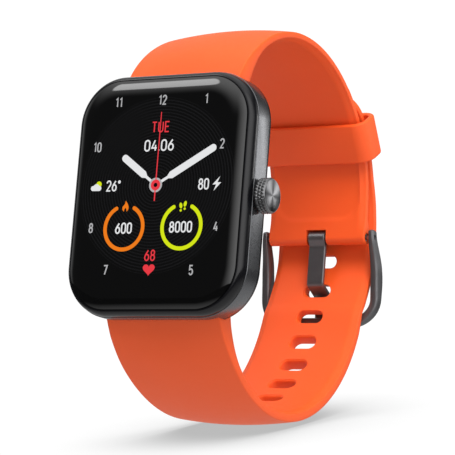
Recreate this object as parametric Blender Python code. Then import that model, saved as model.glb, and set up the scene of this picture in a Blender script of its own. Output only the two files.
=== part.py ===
"""GPS running watch: a rectangular smart watch with a crown and a buckled silicone strap.

The frame is the wearer's: +X points to the crown side, +Z to twelve o'clock and -Y out of the
screen.  The origin is the centre of the flat sensor window that rests on the wrist.
All sizes below are in millimetres and are scaled to metres when a mesh is made.
"""

from math import asin, atan2, copysign, cos, degrees, hypot, pi, radians, sin, sqrt

import bmesh
import bpy
from mathutils import Matrix, Vector

MM = 0.001

# Case, seen from the front
CASE_HALF_X = 17.85
CASE_HALF_Z = 21.5
CASE_CORNER = 8.8

# Levels along Y, from the glass to the wrist
GLASS_TOP = -10.7
GLASS_BACK = -9.25
BEZEL_TOP = -9.8
BEZEL_LEDGE = -8.95
BEZEL_BACK = -8.0
BAND_FRONT = -7.9
CAVITY_STEP = -6.4
BAND_BACK = -3.64
CASE_BACK = -1.75
COVER_BACK = -0.6

# Insets of the front pieces from the case outline
BEZEL_INSET = 1.15
GLASS_INSET = 1.25
GLASS_EDGE_WIDTH = 3.2

# Cavity behind the screen and the deeper cavity for the electronics: half x, half z, corner
FRONT_CAVITY = (16.4, 20.0, 7.3)
REAR_CAVITY = (14.9, 15.9, 7.0)

# Strap attachment
BAR_Y = -3.4
BAR_Z = 19.6
BAR_RADIUS = 0.75
PIN_RADIUS = 0.4
POCKET_HALF_X = 11.2
POCKET_FLOOR_Z = 17.1
POCKET_FRONT_Y = -5.9

# Strap loop: two circles above and below the middle, joined by a flatter arc at the back
LOOP_Y = 20.6
LOOP_Z = 5.0
LOOP_RADIUS = 28.5
BACK_RADIUS = 60.0
BACK_Y = LOOP_Y - sqrt((BACK_RADIUS - LOOP_RADIUS) ** 2 - LOOP_Z ** 2)
JOIN_ANGLE = asin(LOOP_Z / (BACK_RADIUS - LOOP_RADIUS))
LUG_HALF_WIDTH = 11.0
BACK_HALF_WIDTH = 10.4
SHOULDER_HALF_WIDTH = 11.6
KNUCKLE_RADIUS = 2.1
TIP_ANGLE = radians(54)
TIP_LENGTH = 8.0
SLOT_PITCH = 6.0
SLOT_HALF_X = 2.7
SLOT_HALF_LENGTH = 1.25
SLOTS_BELOW = 5
SLOTS_ABOVE = 4

# Buckle
BUCKLE_BAR_Z = 3.2
BUCKLE_BAR_OFFSET = 0.45
STRAP_END_RADIUS = 1.35
BUCKLE_ARM_INNER_X = 10.95
BUCKLE_ARM_HALF_WIDTH = 0.9
BUCKLE_ARM_HALF_DEPTH = 1.4
BUCKLE_TOP_HALF_WIDTH = 0.55
BUCKLE_CORNER = 4.6
FAR_BAR = (LOOP_Y + 31.4, -13.0)
FAR_BAR_HALF_DEPTH = 1.05
TANG_HALF_X = 1.75
TANG_THICKNESS = 0.85
TANG_STEP = 0.1
TANG_CURL_RADIUS = 1.35

# Keeper
KEEPER_ANGLE = radians(33.6)
KEEPER_HALF_WIDTH = 3.9

# Crown
CROWN_Y = -5.8
CROWN_Z = -0.2
CROWN_RADIUS = 3.1
CROWN_IN = 18.3
CROWN_OUT = 20.45
STEM_RADIUS = 0.75

SCREW_PLACES = [(x, z) for x in (-13.2, 13.2) for z in (-15.4, 15.4)]


# ---------------------------------------------------------------- scene and materials

def clear_scene():
    for item in list(bpy.data.objects):
        bpy.data.objects.remove(item, do_unlink=True)


def make_material(name, colour, roughness, metallic=0.0):
    material = bpy.data.materials.new(name)
    material.use_nodes = True
    shader = material.node_tree.nodes["Principled BSDF"]
    shader.inputs["Base Color"].default_value = (*colour, 1.0)
    shader.inputs["Roughness"].default_value = roughness
    shader.inputs["Metallic"].default_value = metallic
    material.diffuse_color = (*colour, 1.0)
    return material


def make_materials():
    return {
        "satin_metal": make_material("satin_metal", (0.25, 0.25, 0.26), 0.35, 1.0),
        "black_gloss": make_material("black_gloss", (0.01, 0.01, 0.012), 0.12),
        "glass": make_material("glass", (0.02, 0.02, 0.025), 0.03),
        "screen": make_material("screen", (0.02, 0.02, 0.02), 0.2),
        "dark_metal": make_material("dark_metal", (0.04, 0.04, 0.045), 0.3, 1.0),
        "steel": make_material("steel", (0.6, 0.6, 0.62), 0.3, 1.0),
        "gold": make_material("gold", (0.8, 0.6, 0.25), 0.25, 1.0),
        "silicone": make_material("silicone", (0.84, 0.13, 0.03), 0.5),
        "black_plastic": make_material("black_plastic", (0.02, 0.02, 0.022), 0.45),
        "board": make_material("board", (0.01, 0.08, 0.04), 0.5),
        "foil": make_material("foil", (0.35, 0.36, 0.38), 0.4, 0.5),
        "polyimide": make_material("polyimide", (0.5, 0.2, 0.03), 0.4),
        "dark_rubber": make_material("dark_rubber", (0.02, 0.02, 0.02), 0.7),
    }


# ---------------------------------------------------------------- mesh tools

def add_object(name, mesh, material):
    item = bpy.data.objects.new(name, mesh)
    bpy.context.scene.collection.objects.link(item)
    mesh.materials.append(material)
    return item


def finish_mesh(name, bm, sharp_degrees=35):
    bmesh.ops.recalc_face_normals(bm, faces=bm.faces)
    mesh = bpy.data.meshes.new(name)
    bm.to_mesh(mesh)
    bm.free()
    mesh.shade_smooth()
    mesh.set_sharp_from_angle(angle=radians(sharp_degrees))
    return mesh


def skin(name, rings, material, closed=False):
    """Joins rings of equal length with quads; open stacks get a cap at each end."""
    bm = bmesh.new()
    loops = [[bm.verts.new(Vector(point) * MM) for point in ring] for ring in rings]
    count = len(loops[0])
    pairs = list(zip(loops, loops[1:]))
    if closed:
        pairs.append((loops[-1], loops[0]))
    for low, high in pairs:
        for i in range(count):
            j = (i + 1) % count
            bm.faces.new((low[i], low[j], high[j], high[i]))
    if not closed:
        bm.faces.new(loops[0])
        bm.faces.new(loops[-1])
    return add_object(name, finish_mesh(name, bm), material)


def rounded_rectangle(half_x, half_z, corner, segments=8):
    """Outline in (x, z), going round the four corners."""
    points = []
    for quarter, (sx, sz) in enumerate([(1, 1), (-1, 1), (-1, -1), (1, -1)]):
        centre_x = sx * (half_x - corner)
        centre_z = sz * (half_z - corner)
        for step in range(segments + 1):
            angle = (quarter + step / segments) * pi / 2
            points.append((centre_x + corner * cos(angle), centre_z + corner * sin(angle)))
    return points


def plate_ring(y, half_x, half_z, corner, centre=(0, 0), segments=8):
    outline = rounded_rectangle(half_x, half_z, corner, segments)
    return [(x + centre[0], y, z + centre[1]) for x, z in outline]


def plate(name, levels, material, centre=(0, 0), segments=8):
    """Solid plate facing along Y; each level is (y, half x, half z, corner)."""
    return skin(name, [plate_ring(*level, centre, segments) for level in levels], material)


def frame_plate(name, levels, material, segments=8):
    """Ring-shaped plate; the levels run round its section, outside then inside."""
    return skin(name, [plate_ring(*level, (0, 0), segments) for level in levels], material, closed=True)


AXIS_TURNS = {
    "x": Matrix.Rotation(pi / 2, 4, "Y"),
    "y": Matrix.Rotation(-pi / 2, 4, "X"),
}


def turned(name, profile, axis, centre, material, segments=32, closed=False):
    """Round piece about an axis through the centre; the profile is (distance along, radius)."""
    turn = AXIS_TURNS[axis]
    rings = []
    for along, radius in profile:
        ring = []
        for i in range(segments):
            angle = 2 * pi * i / segments
            spoke = Vector((radius * cos(angle), radius * sin(angle), along))
            ring.append(Vector(centre) + turn @ spoke)
        rings.append(ring)
    return skin(name, rings, material, closed)


def box_levels(low_y, high_y, half_x, half_z, corner=0.6):
    return [(low_y, half_x, half_z, corner), (high_y, half_x, half_z, corner)]


def extruded(name, outline, half_x, material, centre_x=0.0):
    """Extrudes a (y, z) outline to both sides of centre_x."""
    rings = [[(centre_x + side * half_x, y, z) for y, z in outline] for side in (-1, 1)]
    return skin(name, rings, material)


def thick_line(points, thickness):
    """Outline of a bent strip, from its centre line."""
    left = []
    right = []
    for i, point in enumerate(points):
        before = Vector(points[max(i - 1, 0)])
        after = Vector(points[min(i + 1, len(points) - 1)])
        here = Vector(point)
        entry = (here - before).normalized() if i > 0 else (after - here).normalized()
        leave = (after - here).normalized() if i < len(points) - 1 else entry
        bisector = (entry + leave).normalized()
        normal = Vector((-bisector.y, bisector.x))
        reach = thickness / 2 / max(bisector.dot(entry), 0.5)
        left.append(tuple(here + normal * reach))
        right.append(tuple(here - normal * reach))
    return left + right[::-1]


def cutter(item):
    item.hide_render = True
    item.display_type = "WIRE"
    item.data.materials.clear()
    return item


def combine(target, tool, operation="DIFFERENCE"):
    modifier = target.modifiers.new(tool.name, "BOOLEAN")
    modifier.operation = operation
    modifier.object = cutter(tool)
    modifier.solver = "EXACT"


def cut_box(target, name, low, high):
    corners = [(low[0], low[2]), (high[0], low[2]), (high[0], high[2]), (low[0], high[2])]
    rings = [[(x, y, z) for x, z in corners] for y in (low[1], high[1])]
    combine(target, skin(name, rings, MATERIALS["steel"]))


def cut_bore(target, name, axis, centre, radius, start, end, segments=24):
    profile = [(start, radius), (end, radius)]
    combine(target, turned(name, profile, axis, centre, MATERIALS["steel"], segments))


# ---------------------------------------------------------------- strap loop

def loop_point(angle, offset):
    """(y, z) on the strap loop, at an elevation seen from its middle, off its inner face."""
    if angle > JOIN_ANGLE:
        centre, radius = (LOOP_Y, LOOP_Z), LOOP_RADIUS
    elif angle < -JOIN_ANGLE:
        centre, radius = (LOOP_Y, -LOOP_Z), LOOP_RADIUS
    else:
        centre, radius = (BACK_Y, 0.0), BACK_RADIUS
    reach = radius + offset
    return centre[0] + reach * cos(angle), centre[1] + reach * sin(angle)


def angle_at_length(length, offset):
    """Elevation reached after a length of strap, measured from the middle of the back."""
    size = abs(length)
    back_length = (BACK_RADIUS + offset) * JOIN_ANGLE
    if size <= back_length:
        angle = size / (BACK_RADIUS + offset)
    else:
        angle = JOIN_ANGLE + (size - back_length) / (LOOP_RADIUS + offset)
    return angle if length >= 0 else -angle


def blend(value, low, high):
    t = min(max((value - low) / (high - low), 0.0), 1.0)
    return t * t * (3 - 2 * t)


def between(value, knots):
    """Linear interpolation through (position, value) knots in rising order."""
    if value <= knots[0][0]:
        return knots[0][1]
    for (low, start), (high, end) in zip(knots, knots[1:]):
        if value <= high:
            return start + (end - start) * (value - low) / (high - low)
    return knots[-1][1]


# Offsets of the strap faces from the loop, against the elevation in degrees
LUG_INNER = [(125, 0.0), (133, -0.3), (141.4, -1.1), (148, -2.4)]
LUG_OUTER = [(60, 1.5), (110, 1.6), (130, 1.9), (141.4, 2.0), (148, 1.7)]
LUG_BAR_ANGLE = atan2(BAR_Z - LOOP_Z, BAR_Y - LOOP_Y)
LUG_BAR_OFFSET = hypot(BAR_Z - LOOP_Z, BAR_Y - LOOP_Y) - LOOP_RADIUS
LAP_INNER = [(-15, 0.0), (-12, 0.15), (-9, 0.8), (-6, 1.75), (-3, 2.6), (-1, 2.95), (5, 2.95), (11, 2.5),
             (18, 1.95)]
LOWER_EDGE = [(-60, 2.1), (-20, 2.1), (-12, 1.6)]
HALF_WIDTHS = [(0, BACK_HALF_WIDTH), (90, 10.8), (115, 11.2), (130, SHOULDER_HALF_WIDTH),
               (138, SHOULDER_HALF_WIDTH), (142.5, LUG_HALF_WIDTH)]
STRAP_EDGE = 1.6
END_INNER = [(4, BUCKLE_BAR_OFFSET - STRAP_END_RADIUS), (24, 0.0)]
ACROSS = (-1.0, -0.86, -0.6, -0.25, 0.25, 0.6, 0.86, 1.0)


def strap_section(angle, inner, outer, half_width, inner_crown, outer_crown):
    """Closed ring across the strap: along the outer face, then back along the inner face."""
    ring = []
    for share in ACROSS:
        offset = outer + outer_crown * (1 - share * share)
        ring.append((share * half_width, *loop_point(angle, offset)))
    for share in reversed(ACROSS):
        offset = inner + inner_crown * (1 - share * share)
        ring.append((share * half_width, *loop_point(angle, offset)))
    return ring


def half_width_at(angle):
    return between(abs(degrees(angle)), HALF_WIDTHS)


def knuckle_sections(centre_angle, centre_offset, radius, path_radius, direction, half_width):
    """Rounded end of a strap about a bar."""
    rings = []
    for step in range(1, 6):
        turn = step / 6 * pi / 2
        angle = centre_angle + direction * radius * sin(turn) / path_radius
        half = radius * cos(turn)
        rings.append(strap_section(angle, centre_offset - half, centre_offset + half, half_width, 0, 0))
    return rings


def lug_sections(sign):
    """Stations from the lug bar to the top or bottom of the loop, in both straps."""
    rings = knuckle_sections(LUG_BAR_ANGLE * sign, LUG_BAR_OFFSET, KNUCKLE_RADIUS,
                             LOOP_RADIUS + LUG_BAR_OFFSET, sign, LUG_HALF_WIDTH)
    rings.reverse()
    rings.append(strap_section(sign * LUG_BAR_ANGLE, LUG_BAR_OFFSET - KNUCKLE_RADIUS,
                               LUG_BAR_OFFSET + KNUCKLE_RADIUS, LUG_HALF_WIDTH, 0, 0))
    for step in (146, 144, 141.4, 138, 134, 130, 124, 116, 108, 100, 92, 84, 76, 68, 60):
        angle = radians(step)
        crown = 0.8 * blend(146 - step, 0, 14) - 0.2 * blend(100 - step, 0, 40)
        rings.append(strap_section(sign * angle, between(step, LUG_INNER), between(step, LUG_OUTER),
                                   half_width_at(angle), 0, crown))
    return rings


def cut_lug(strap, sign, name):
    cut_bore(strap, name + "_bar_hole", "x", (0, BAR_Y, sign * BAR_Z), BAR_RADIUS + 0.1, -13, 13)
    low_z, high_z = sorted((sign * (BAR_Z - 0.9), sign * (BAR_Z + 0.9)))
    cut_box(strap, name + "_lever_notch", (-9.0, BAR_Y, low_z), (-6.0, 0.5, high_z))


def make_strap_upper():
    rings = lug_sections(1)
    for step in (54, 48, 42, 36, 30, 24, 18, 13, 9.2, 6.5):
        inner = between(step, END_INNER)
        half_width = half_width_at(radians(step))
        rings.append(strap_section(radians(step), inner, inner + STRAP_EDGE, half_width, 0, 0.4))
    end_angle = asin(BUCKLE_BAR_Z / (BACK_RADIUS + BUCKLE_BAR_OFFSET))
    rings.append(strap_section(end_angle, BUCKLE_BAR_OFFSET - STRAP_END_RADIUS,
                               BUCKLE_BAR_OFFSET + STRAP_END_RADIUS, BACK_HALF_WIDTH, 0, 0))
    rings += knuckle_sections(end_angle, BUCKLE_BAR_OFFSET, STRAP_END_RADIUS,
                              BACK_RADIUS + BUCKLE_BAR_OFFSET, -1, BACK_HALF_WIDTH)
    strap = skin("strap_upper", rings, MATERIALS["silicone"])
    cut_lug(strap, 1, "upper")
    bar = (0, *loop_point(end_angle, BUCKLE_BAR_OFFSET))
    cut_bore(strap, "buckle_bar_hole", "x", bar, BAR_RADIUS + 0.08, -13, 13)
    cut_box(strap, "tang_notch", (-TANG_HALF_X - 0.4, 46, -1), (TANG_HALF_X + 0.4, 54, BUCKLE_BAR_Z + 1.7))
    return strap


def slot_cutter(angles):
    """Round-ended slots through the lapped strap, in one cutter of separate bodies."""
    bm = bmesh.new()
    segments = 8
    for angle in angles:
        offset = between(degrees(angle), LAP_INNER)
        normal = Vector((0, cos(angle), sin(angle)))
        along = Vector((0, -sin(angle), cos(angle)))
        middle = Vector((0, *loop_point(angle, offset + 1.0)))
        loops = []
        for depth in (-4.0, 4.0):
            loop = []
            for side in (1, -1):
                for step in range(segments + 1):
                    turn = side * pi / 2 - pi / 2 + (step / segments - 0.5) * pi
                    x = side * (SLOT_HALF_X - SLOT_HALF_LENGTH) + SLOT_HALF_LENGTH * cos(turn)
                    point = middle + normal * depth + along * SLOT_HALF_LENGTH * sin(turn)
                    loop.append(bm.verts.new((point + Vector((x, 0, 0))) * MM))
            loops.append(loop)
        count = len(loops[0])
        for i in range(count):
            j = (i + 1) % count
            bm.faces.new((loops[0][i], loops[0][j], loops[1][j], loops[1][i]))
        bm.faces.new(loops[0])
        bm.faces.new(loops[1])
    return add_object("slots", finish_mesh("slots", bm), MATERIALS["steel"])


TANG_SLOT_ANGLE = radians(-6.4)


def slot_angles():
    offset = STRAP_EDGE
    start = (BACK_RADIUS + offset) * TANG_SLOT_ANGLE
    return [angle_at_length(start + k * SLOT_PITCH, offset) for k in range(-SLOTS_BELOW, SLOTS_ABOVE + 1)]


def make_strap_lower():
    rings = lug_sections(-1)
    steps = [-54, -46, -38, -31, -25, -20, -17.5, -15, -13.5, -12, -10.5, -9, -7.5, -6, -4.5, -3, -1, 1, 3, 5,
             7, 9, 11, 13, 15.5, 18, 23, 28, 33, 38]
    for step in steps:
        angle = radians(step)
        inner = between(step, LAP_INNER)
        inner_crown = 0.45 * blend(step, 4, 18)
        outer = inner + between(step, LOWER_EDGE)
        rings.append(strap_section(angle, inner, outer, half_width_at(angle), inner_crown, 0.6))
    tip_start = TIP_ANGLE - TIP_LENGTH / (LOOP_RADIUS + 2)
    for step in range(0, 8):
        turn = step / 8 * pi / 2
        angle = tip_start + (TIP_ANGLE - tip_start) * sin(turn)
        inner = between(degrees(angle), LAP_INNER)
        half_width = half_width_at(angle) * (0.45 + 0.55 * cos(turn))
        rings.append(strap_section(angle, inner, inner + STRAP_EDGE, half_width, 0.45, 0.6))
    strap = skin("strap_lower", rings, MATERIALS["silicone"])
    cut_lug(strap, -1, "lower")
    combine(strap, slot_cutter(slot_angles()))
    return strap


def make_keeper():
    """Straight loop round both straps; its section runs outside, then back inside."""
    normal = Vector((0, cos(KEEPER_ANGLE), sin(KEEPER_ANGLE)))
    along = Vector((0, -sin(KEEPER_ANGLE), cos(KEEPER_ANGLE)))
    seat = Vector((0, *loop_point(KEEPER_ANGLE, 0)))

    def ring(distance, half_x, low, high, corner):
        outline = rounded_rectangle(half_x, (high - low) / 2, corner, 6)
        middle = (high + low) / 2
        return [seat + along * distance + normal * (middle + depth) + Vector((x, 0, 0))
                for x, depth in outline]

    ends = (-KEEPER_HALF_WIDTH, KEEPER_HALF_WIDTH)
    outer = [ring(end, 12.5, -1.65, 5.95, 3.0) for end in ends]
    inner = [ring(end, 11.0, -0.45, 4.45, 0.9) for end in reversed(ends)]
    return skin("keeper", outer + inner, MATERIALS["silicone"], closed=True)


# ---------------------------------------------------------------- case

def inset_outline(inset):
    return CASE_HALF_X - inset, CASE_HALF_Z - inset, CASE_CORNER - inset


def make_case_frame():
    levels = [
        (BAND_FRONT, *inset_outline(0.3)),
        (BAND_FRONT + 0.3, *inset_outline(0)),
        (BAND_BACK, *inset_outline(0)),
        (BAND_BACK + 0.5, *inset_outline(0.5)),
        (CASE_BACK, *inset_outline(1.4)),
        (CASE_BACK, *REAR_CAVITY),
        (CAVITY_STEP, *REAR_CAVITY),
        (CAVITY_STEP, *FRONT_CAVITY),
        (BAND_FRONT, *FRONT_CAVITY),
    ]
    frame = frame_plate("case_frame", levels, MATERIALS["satin_metal"], segments=10)
    for sign, side in ((1, "upper"), (-1, "lower")):
        low_z, high_z = sorted((sign * POCKET_FLOOR_Z, sign * 25))
        cut_box(frame, side + "_pocket", (-POCKET_HALF_X, POCKET_FRONT_Y, low_z), (POCKET_HALF_X, 0, high_z))
        cut_bore(frame, side + "_pin_holes", "x", (0, BAR_Y, sign * BAR_Z), PIN_RADIUS + 0.1, -12.7, 12.7, 16)
    cut_bore(frame, "crown_hole", "x", (0, CROWN_Y, CROWN_Z), 1.55, 14, 19)
    for i, (x, z) in enumerate(SCREW_PLACES):
        cut_bore(frame, f"screw_hole_{i}", "y", (x, 0, z), 0.6, -5.2, 0, 12)
    return frame


def make_bezel_ring():
    levels = []
    for step in range(6):
        turn = step / 5 * pi / 2
        inset = 0.12 + (BEZEL_INSET - 0.12) * (1 - cos(turn))
        levels.append((BEZEL_BACK + (BEZEL_TOP - BEZEL_BACK) * sin(turn), *inset_outline(inset)))
    seat = inset_outline(GLASS_INSET - 0.12)
    levels += [(BEZEL_TOP + 0.1, *seat), (BEZEL_LEDGE, *seat), (BEZEL_LEDGE, 15.3, 18.95, 6.2),
               (BEZEL_BACK, 15.3, 18.95, 6.2)]
    levels.reverse()
    return frame_plate("bezel_ring", levels, MATERIALS["black_gloss"], segments=10)


def make_cover_glass():
    levels = [(GLASS_BACK, *inset_outline(GLASS_INSET)), (-9.9, *inset_outline(GLASS_INSET))]
    drop = -9.9 - GLASS_TOP
    for step in range(1, 5):
        turn = step / 4 * pi / 2
        inset = GLASS_INSET + GLASS_EDGE_WIDTH * (1 - cos(turn))
        levels.append((-9.9 - drop * sin(turn), *inset_outline(inset)))
    return plate("cover_glass", levels, MATERIALS["glass"], segments=10)


def make_back():
    cover = plate("back_cover", [(-1.5, 15.8, 17.0, 3.0), (-0.9, 15.8, 17.0, 3.0),
                                 (COVER_BACK, 15.3, 16.5, 2.6)], MATERIALS["black_plastic"])
    cut_bore(cover, "window_hole", "y", (0, 0, 0), 7.05, -3, 1, 40)
    for x in (-1.5, 1.5):
        cut_bore(cover, f"pin_hole_{x}", "y", (x, 0, -13.0), 0.9, -3, 1, 16)
    for i, (x, z) in enumerate(SCREW_PLACES):
        cut_bore(cover, f"screw_way_{i}", "y", (x, 0, z), 0.65, -3, 1, 12)
        cut_bore(cover, f"screw_seat_{i}", "y", (x, 0, z), 1.15, -1.1, 1, 16)
        turned(f"back_screw_{i + 1}", [(-5.0, 0.5), (-1.05, 0.5), (-1.05, 1.05), (-0.75, 1.05)], "y",
               (x, 0, z), MATERIALS["dark_metal"], 12)
    frame_plate("back_gasket", [(-1.7, 15.5, 16.5, 7.6), (-1.55, 15.5, 16.5, 7.6), (-1.55, 15.0, 16.0, 7.1),
                                (-1.7, 15.0, 16.0, 7.1)], MATERIALS["dark_rubber"], segments=5)
    turned("sensor_window", [(-1.35, 6.95), (-0.35, 6.95), (0.0, 6.2)], "y", (0, 0, 0),
           MATERIALS["black_gloss"], 40)
    turned("sensor_board", [(-2.05, 6.2), (-1.45, 6.2)], "y", (0, 0, 0), MATERIALS["board"], 24)
    for side, x in (("left", -1.5), ("right", 1.5)):
        turned(f"charging_pin_{side}", [(-2.9, 0.5), (-1.6, 0.5), (-1.6, 0.8), (-0.65, 0.8)], "y",
               (x, 0, -13.0), MATERIALS["gold"], 16)
        turned(f"charging_magnet_{side}", [(-2.7, 1.6), (-1.6, 1.6)], "y", (4 * x, 0, -13.0),
               MATERIALS["steel"], 20)


def make_internals():
    plate("display_panel", box_levels(-9.2, -8.1, 14.6, 18.2, 5.0), MATERIALS["screen"], segments=5)
    frame_plate("display_adhesive", [(-9.2, 16.4, 20.05, 7.35), (-9.0, 16.4, 20.05, 7.35),
                                     (-9.0, 15.5, 19.15, 6.4), (-9.2, 15.5, 19.15, 6.4)],
                MATERIALS["dark_rubber"], segments=5)
    bracket = frame_plate("inner_bracket", [(-7.8, 15.9, 19.5, 6.8), (-7.0, 15.9, 19.5, 6.8),
                                            (-7.0, 10.0, 12.0, 2.0), (-7.8, 10.0, 12.0, 2.0)],
                          MATERIALS["black_plastic"], segments=5)
    cut_box(bracket, "bracket_notch", (11.0, -7.4, -2.6), (17.0, -6.5, 2.2))
    flex = [(-8.05, -10.3), (-6.66, -10.3), (-6.66, -7.0), (-6.8, -7.0), (-6.8, -10.14), (-8.05, -10.14)]
    extruded("display_flex", flex, 4.0, MATERIALS["polyimide"])
    board = plate("main_board", box_levels(-6.6, -5.9, 14.2, 15.2, 6.4), MATERIALS["board"], segments=5)
    cut_box(board, "board_notch", (8.2, -8.0, -2.7), (16.0, -5.0, 2.3))
    plate("shield_can", box_levels(-5.85, -4.98, 6.0, 5.5, 0.5), MATERIALS["steel"], (-4.0, 2.5), segments=2)
    plate("gps_antenna", box_levels(-6.9, -6.5, 9.0, 1.3, 0.5), MATERIALS["polyimide"], (0, 17.9), segments=2)
    plate("battery", box_levels(-4.9, -2.2, 11.0, 9.7, 1.5), MATERIALS["foil"], (0, 4.5), segments=3)


def make_motor():
    """Cup-shaped can, open towards the board, with an off-centre rotor on its pin."""
    centre = (-7.0, 0, -10.3)
    can = turned("vibration_motor_can", [(-5.8, 4.0), (-3.2, 4.0)], "y", centre, MATERIALS["steel"], 24)
    cut_bore(can, "can_hollow", "y", centre, 3.7, -7.0, -3.5)
    pin = turned("motor_pin", [(-5.75, 0.3), (-3.3, 0.3)], "y", centre, MATERIALS["steel"], 12)
    combine(can, pin, "UNION")
    outline = [(3.4 * cos(radians(a)), 3.4 * sin(radians(a))) for a in range(0, 181, 15)]
    outline += [(-0.9, 0.0)]
    outline += [(0.9 * cos(radians(a)), 0.9 * sin(radians(a))) for a in range(195, 360, 15)]
    outline += [(0.9, 0.0)]
    rings = [[(centre[0] + x, y, centre[2] + z) for x, z in outline] for y in (-5.5, -3.8)]
    rotor = skin("motor_rotor", rings, MATERIALS["steel"])
    cut_bore(rotor, "rotor_bore", "y", centre, 0.36, -7, -2, 16)


def make_crown():
    centre = (0, CROWN_Y, CROWN_Z)
    tube = turned("crown_tube", [(14.5, 1.5), (17.75, 1.5)], "x", centre, MATERIALS["steel"], 24)
    cut_bore(tube, "tube_bore", "x", centre, STEM_RADIUS + 0.06, 13, 19)
    cut_bore(tube, "tube_seat", "x", centre, 1.28, 16.6, 19)
    turned("crown_o_ring", [(17.1 + 0.2 * sin(a), 1.03 + 0.2 * cos(a))
                            for a in (radians(60 * k) for k in range(6))],
           "x", centre, MATERIALS["dark_rubber"], 16, closed=True)
    turned("crown_stem", [(12.3, STEM_RADIUS), (19.4, STEM_RADIUS)], "x", centre, MATERIALS["steel"], 24)
    knob = turned("crown_knob", [(CROWN_IN, 2.5), (CROWN_IN + 0.25, 2.85), (CROWN_IN + 0.4, CROWN_RADIUS),
                                 (CROWN_OUT - 0.35, CROWN_RADIUS), (CROWN_OUT - 0.1, 2.85),
                                 (CROWN_OUT, 2.6)], "x", centre, MATERIALS["dark_metal"], 36)
    cut_bore(knob, "knob_bore", "x", centre, STEM_RADIUS + 0.05, 17, 19.5)
    turned("thrust_plate", [(11.7, 1.25), (12.2, 1.25)], "x", centre, MATERIALS["steel"], 16)
    body = plate("tact_switch", box_levels(-6.55, -5.05, 1.1, 1.5, 0.2), MATERIALS["black_plastic"],
                 (9.9, -0.2), segments=2)
    cut_bore(body, "switch_well", "x", centre, 0.8, 9.8, 12, 16)
    turned("switch_plunger", [(10.4, 0.65), (11.6, 0.65)], "x", centre, MATERIALS["steel"], 16)


# ---------------------------------------------------------------- spring bars

def make_spring_bar(side, sign):
    """Quick-release bar: a tube with a fixed pin and a sliding pin that carries a thumb lever."""
    centre = (0, BAR_Y, sign * BAR_Z)
    tube = turned(f"{side}_bar_tube", [(-10.7, BAR_RADIUS), (10.7, BAR_RADIUS)], "x", centre,
                  MATERIALS["steel"], 16)
    cut_bore(tube, f"{side}_tube_bore", "x", centre, PIN_RADIUS + 0.08, -12, 12, 16)
    cut_box(tube, f"{side}_tube_slot", (-8.75, BAR_Y, sign * BAR_Z - 0.48),
            (-6.35, BAR_Y + 2, sign * BAR_Z + 0.48))
    turned(f"{side}_bar_fixed_pin", [(8.5, PIN_RADIUS), (12.3, PIN_RADIUS)], "x", centre,
           MATERIALS["steel"], 12)
    pin = turned(f"{side}_bar_release_pin", [(-12.3, PIN_RADIUS), (-7.7, PIN_RADIUS)], "x", centre,
                 MATERIALS["steel"], 12)
    lever = turned(f"{side}_lever", [(BAR_Y, 0.36), (BAR_Y + 2.7, 0.36)], "y", (-8.2, 0, sign * BAR_Z),
                   MATERIALS["steel"], 12)
    combine(pin, lever, "UNION")


def make_buckle_frame(bar):
    """U-shaped frame of rounded section, bowed away from the wrist and waisted at its two ends."""
    bow = [(FAR_BAR[1], 0.0), (-10.0, 0.55), (-5.0, 0.35), (-1.0, -0.4)]
    depth_line = [(z, FAR_BAR[0] + rise) for z, rise in bow] + [(bar[1], bar[0])]
    widths = [(-3.0, BUCKLE_ARM_HALF_WIDTH), (bar[1] + 1.0, BUCKLE_TOP_HALF_WIDTH)]
    depths = [(-9.0, FAR_BAR_HALF_DEPTH), (-6.0, BUCKLE_ARM_HALF_DEPTH), (-1.0, BUCKLE_ARM_HALF_DEPTH),
              (bar[1] + 1.0, FAR_BAR_HALF_DEPTH)]
    straight_end = FAR_BAR[1] + BUCKLE_CORNER
    arm_x = BUCKLE_ARM_INNER_X + BUCKLE_ARM_HALF_WIDTH
    path = []
    for z in (bar[1] + 1.0, bar[1], 1.5, -1.0, -3.0, -5.0, -7.0):
        path.append((BUCKLE_ARM_INNER_X + between(z, widths), z, 0.0))
    for step in range(7):
        turn = step / 6 * pi / 2
        path.append((arm_x - BUCKLE_CORNER * (1 - cos(turn)), straight_end - BUCKLE_CORNER * sin(turn), turn))
    path += [(-x, z, pi - turn) for x, z, turn in reversed(path)]

    def ring(x, z, turn, size=1.0):
        half_width = size * between(z, widths)
        half_depth = size * between(z, depths)
        points = []
        for i in range(12):
            angle = 2 * pi * i / 12
            across = half_width * copysign(abs(cos(angle)) ** 0.7, cos(angle))
            deep = half_depth * copysign(abs(sin(angle)) ** 0.7, sin(angle))
            points.append((x + across * cos(turn), between(z, depth_line) + deep, z - across * sin(turn)))
        return points

    first = path[0]
    last = path[-1]
    rings = [ring(first[0], first[1] + 0.45, first[2], 0.55)]
    rings += [ring(*place) for place in path]
    rings.append(ring(last[0], last[1] + 0.45, last[2], 0.55))
    return skin("buckle_frame", rings, MATERIALS["dark_metal"])


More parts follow.
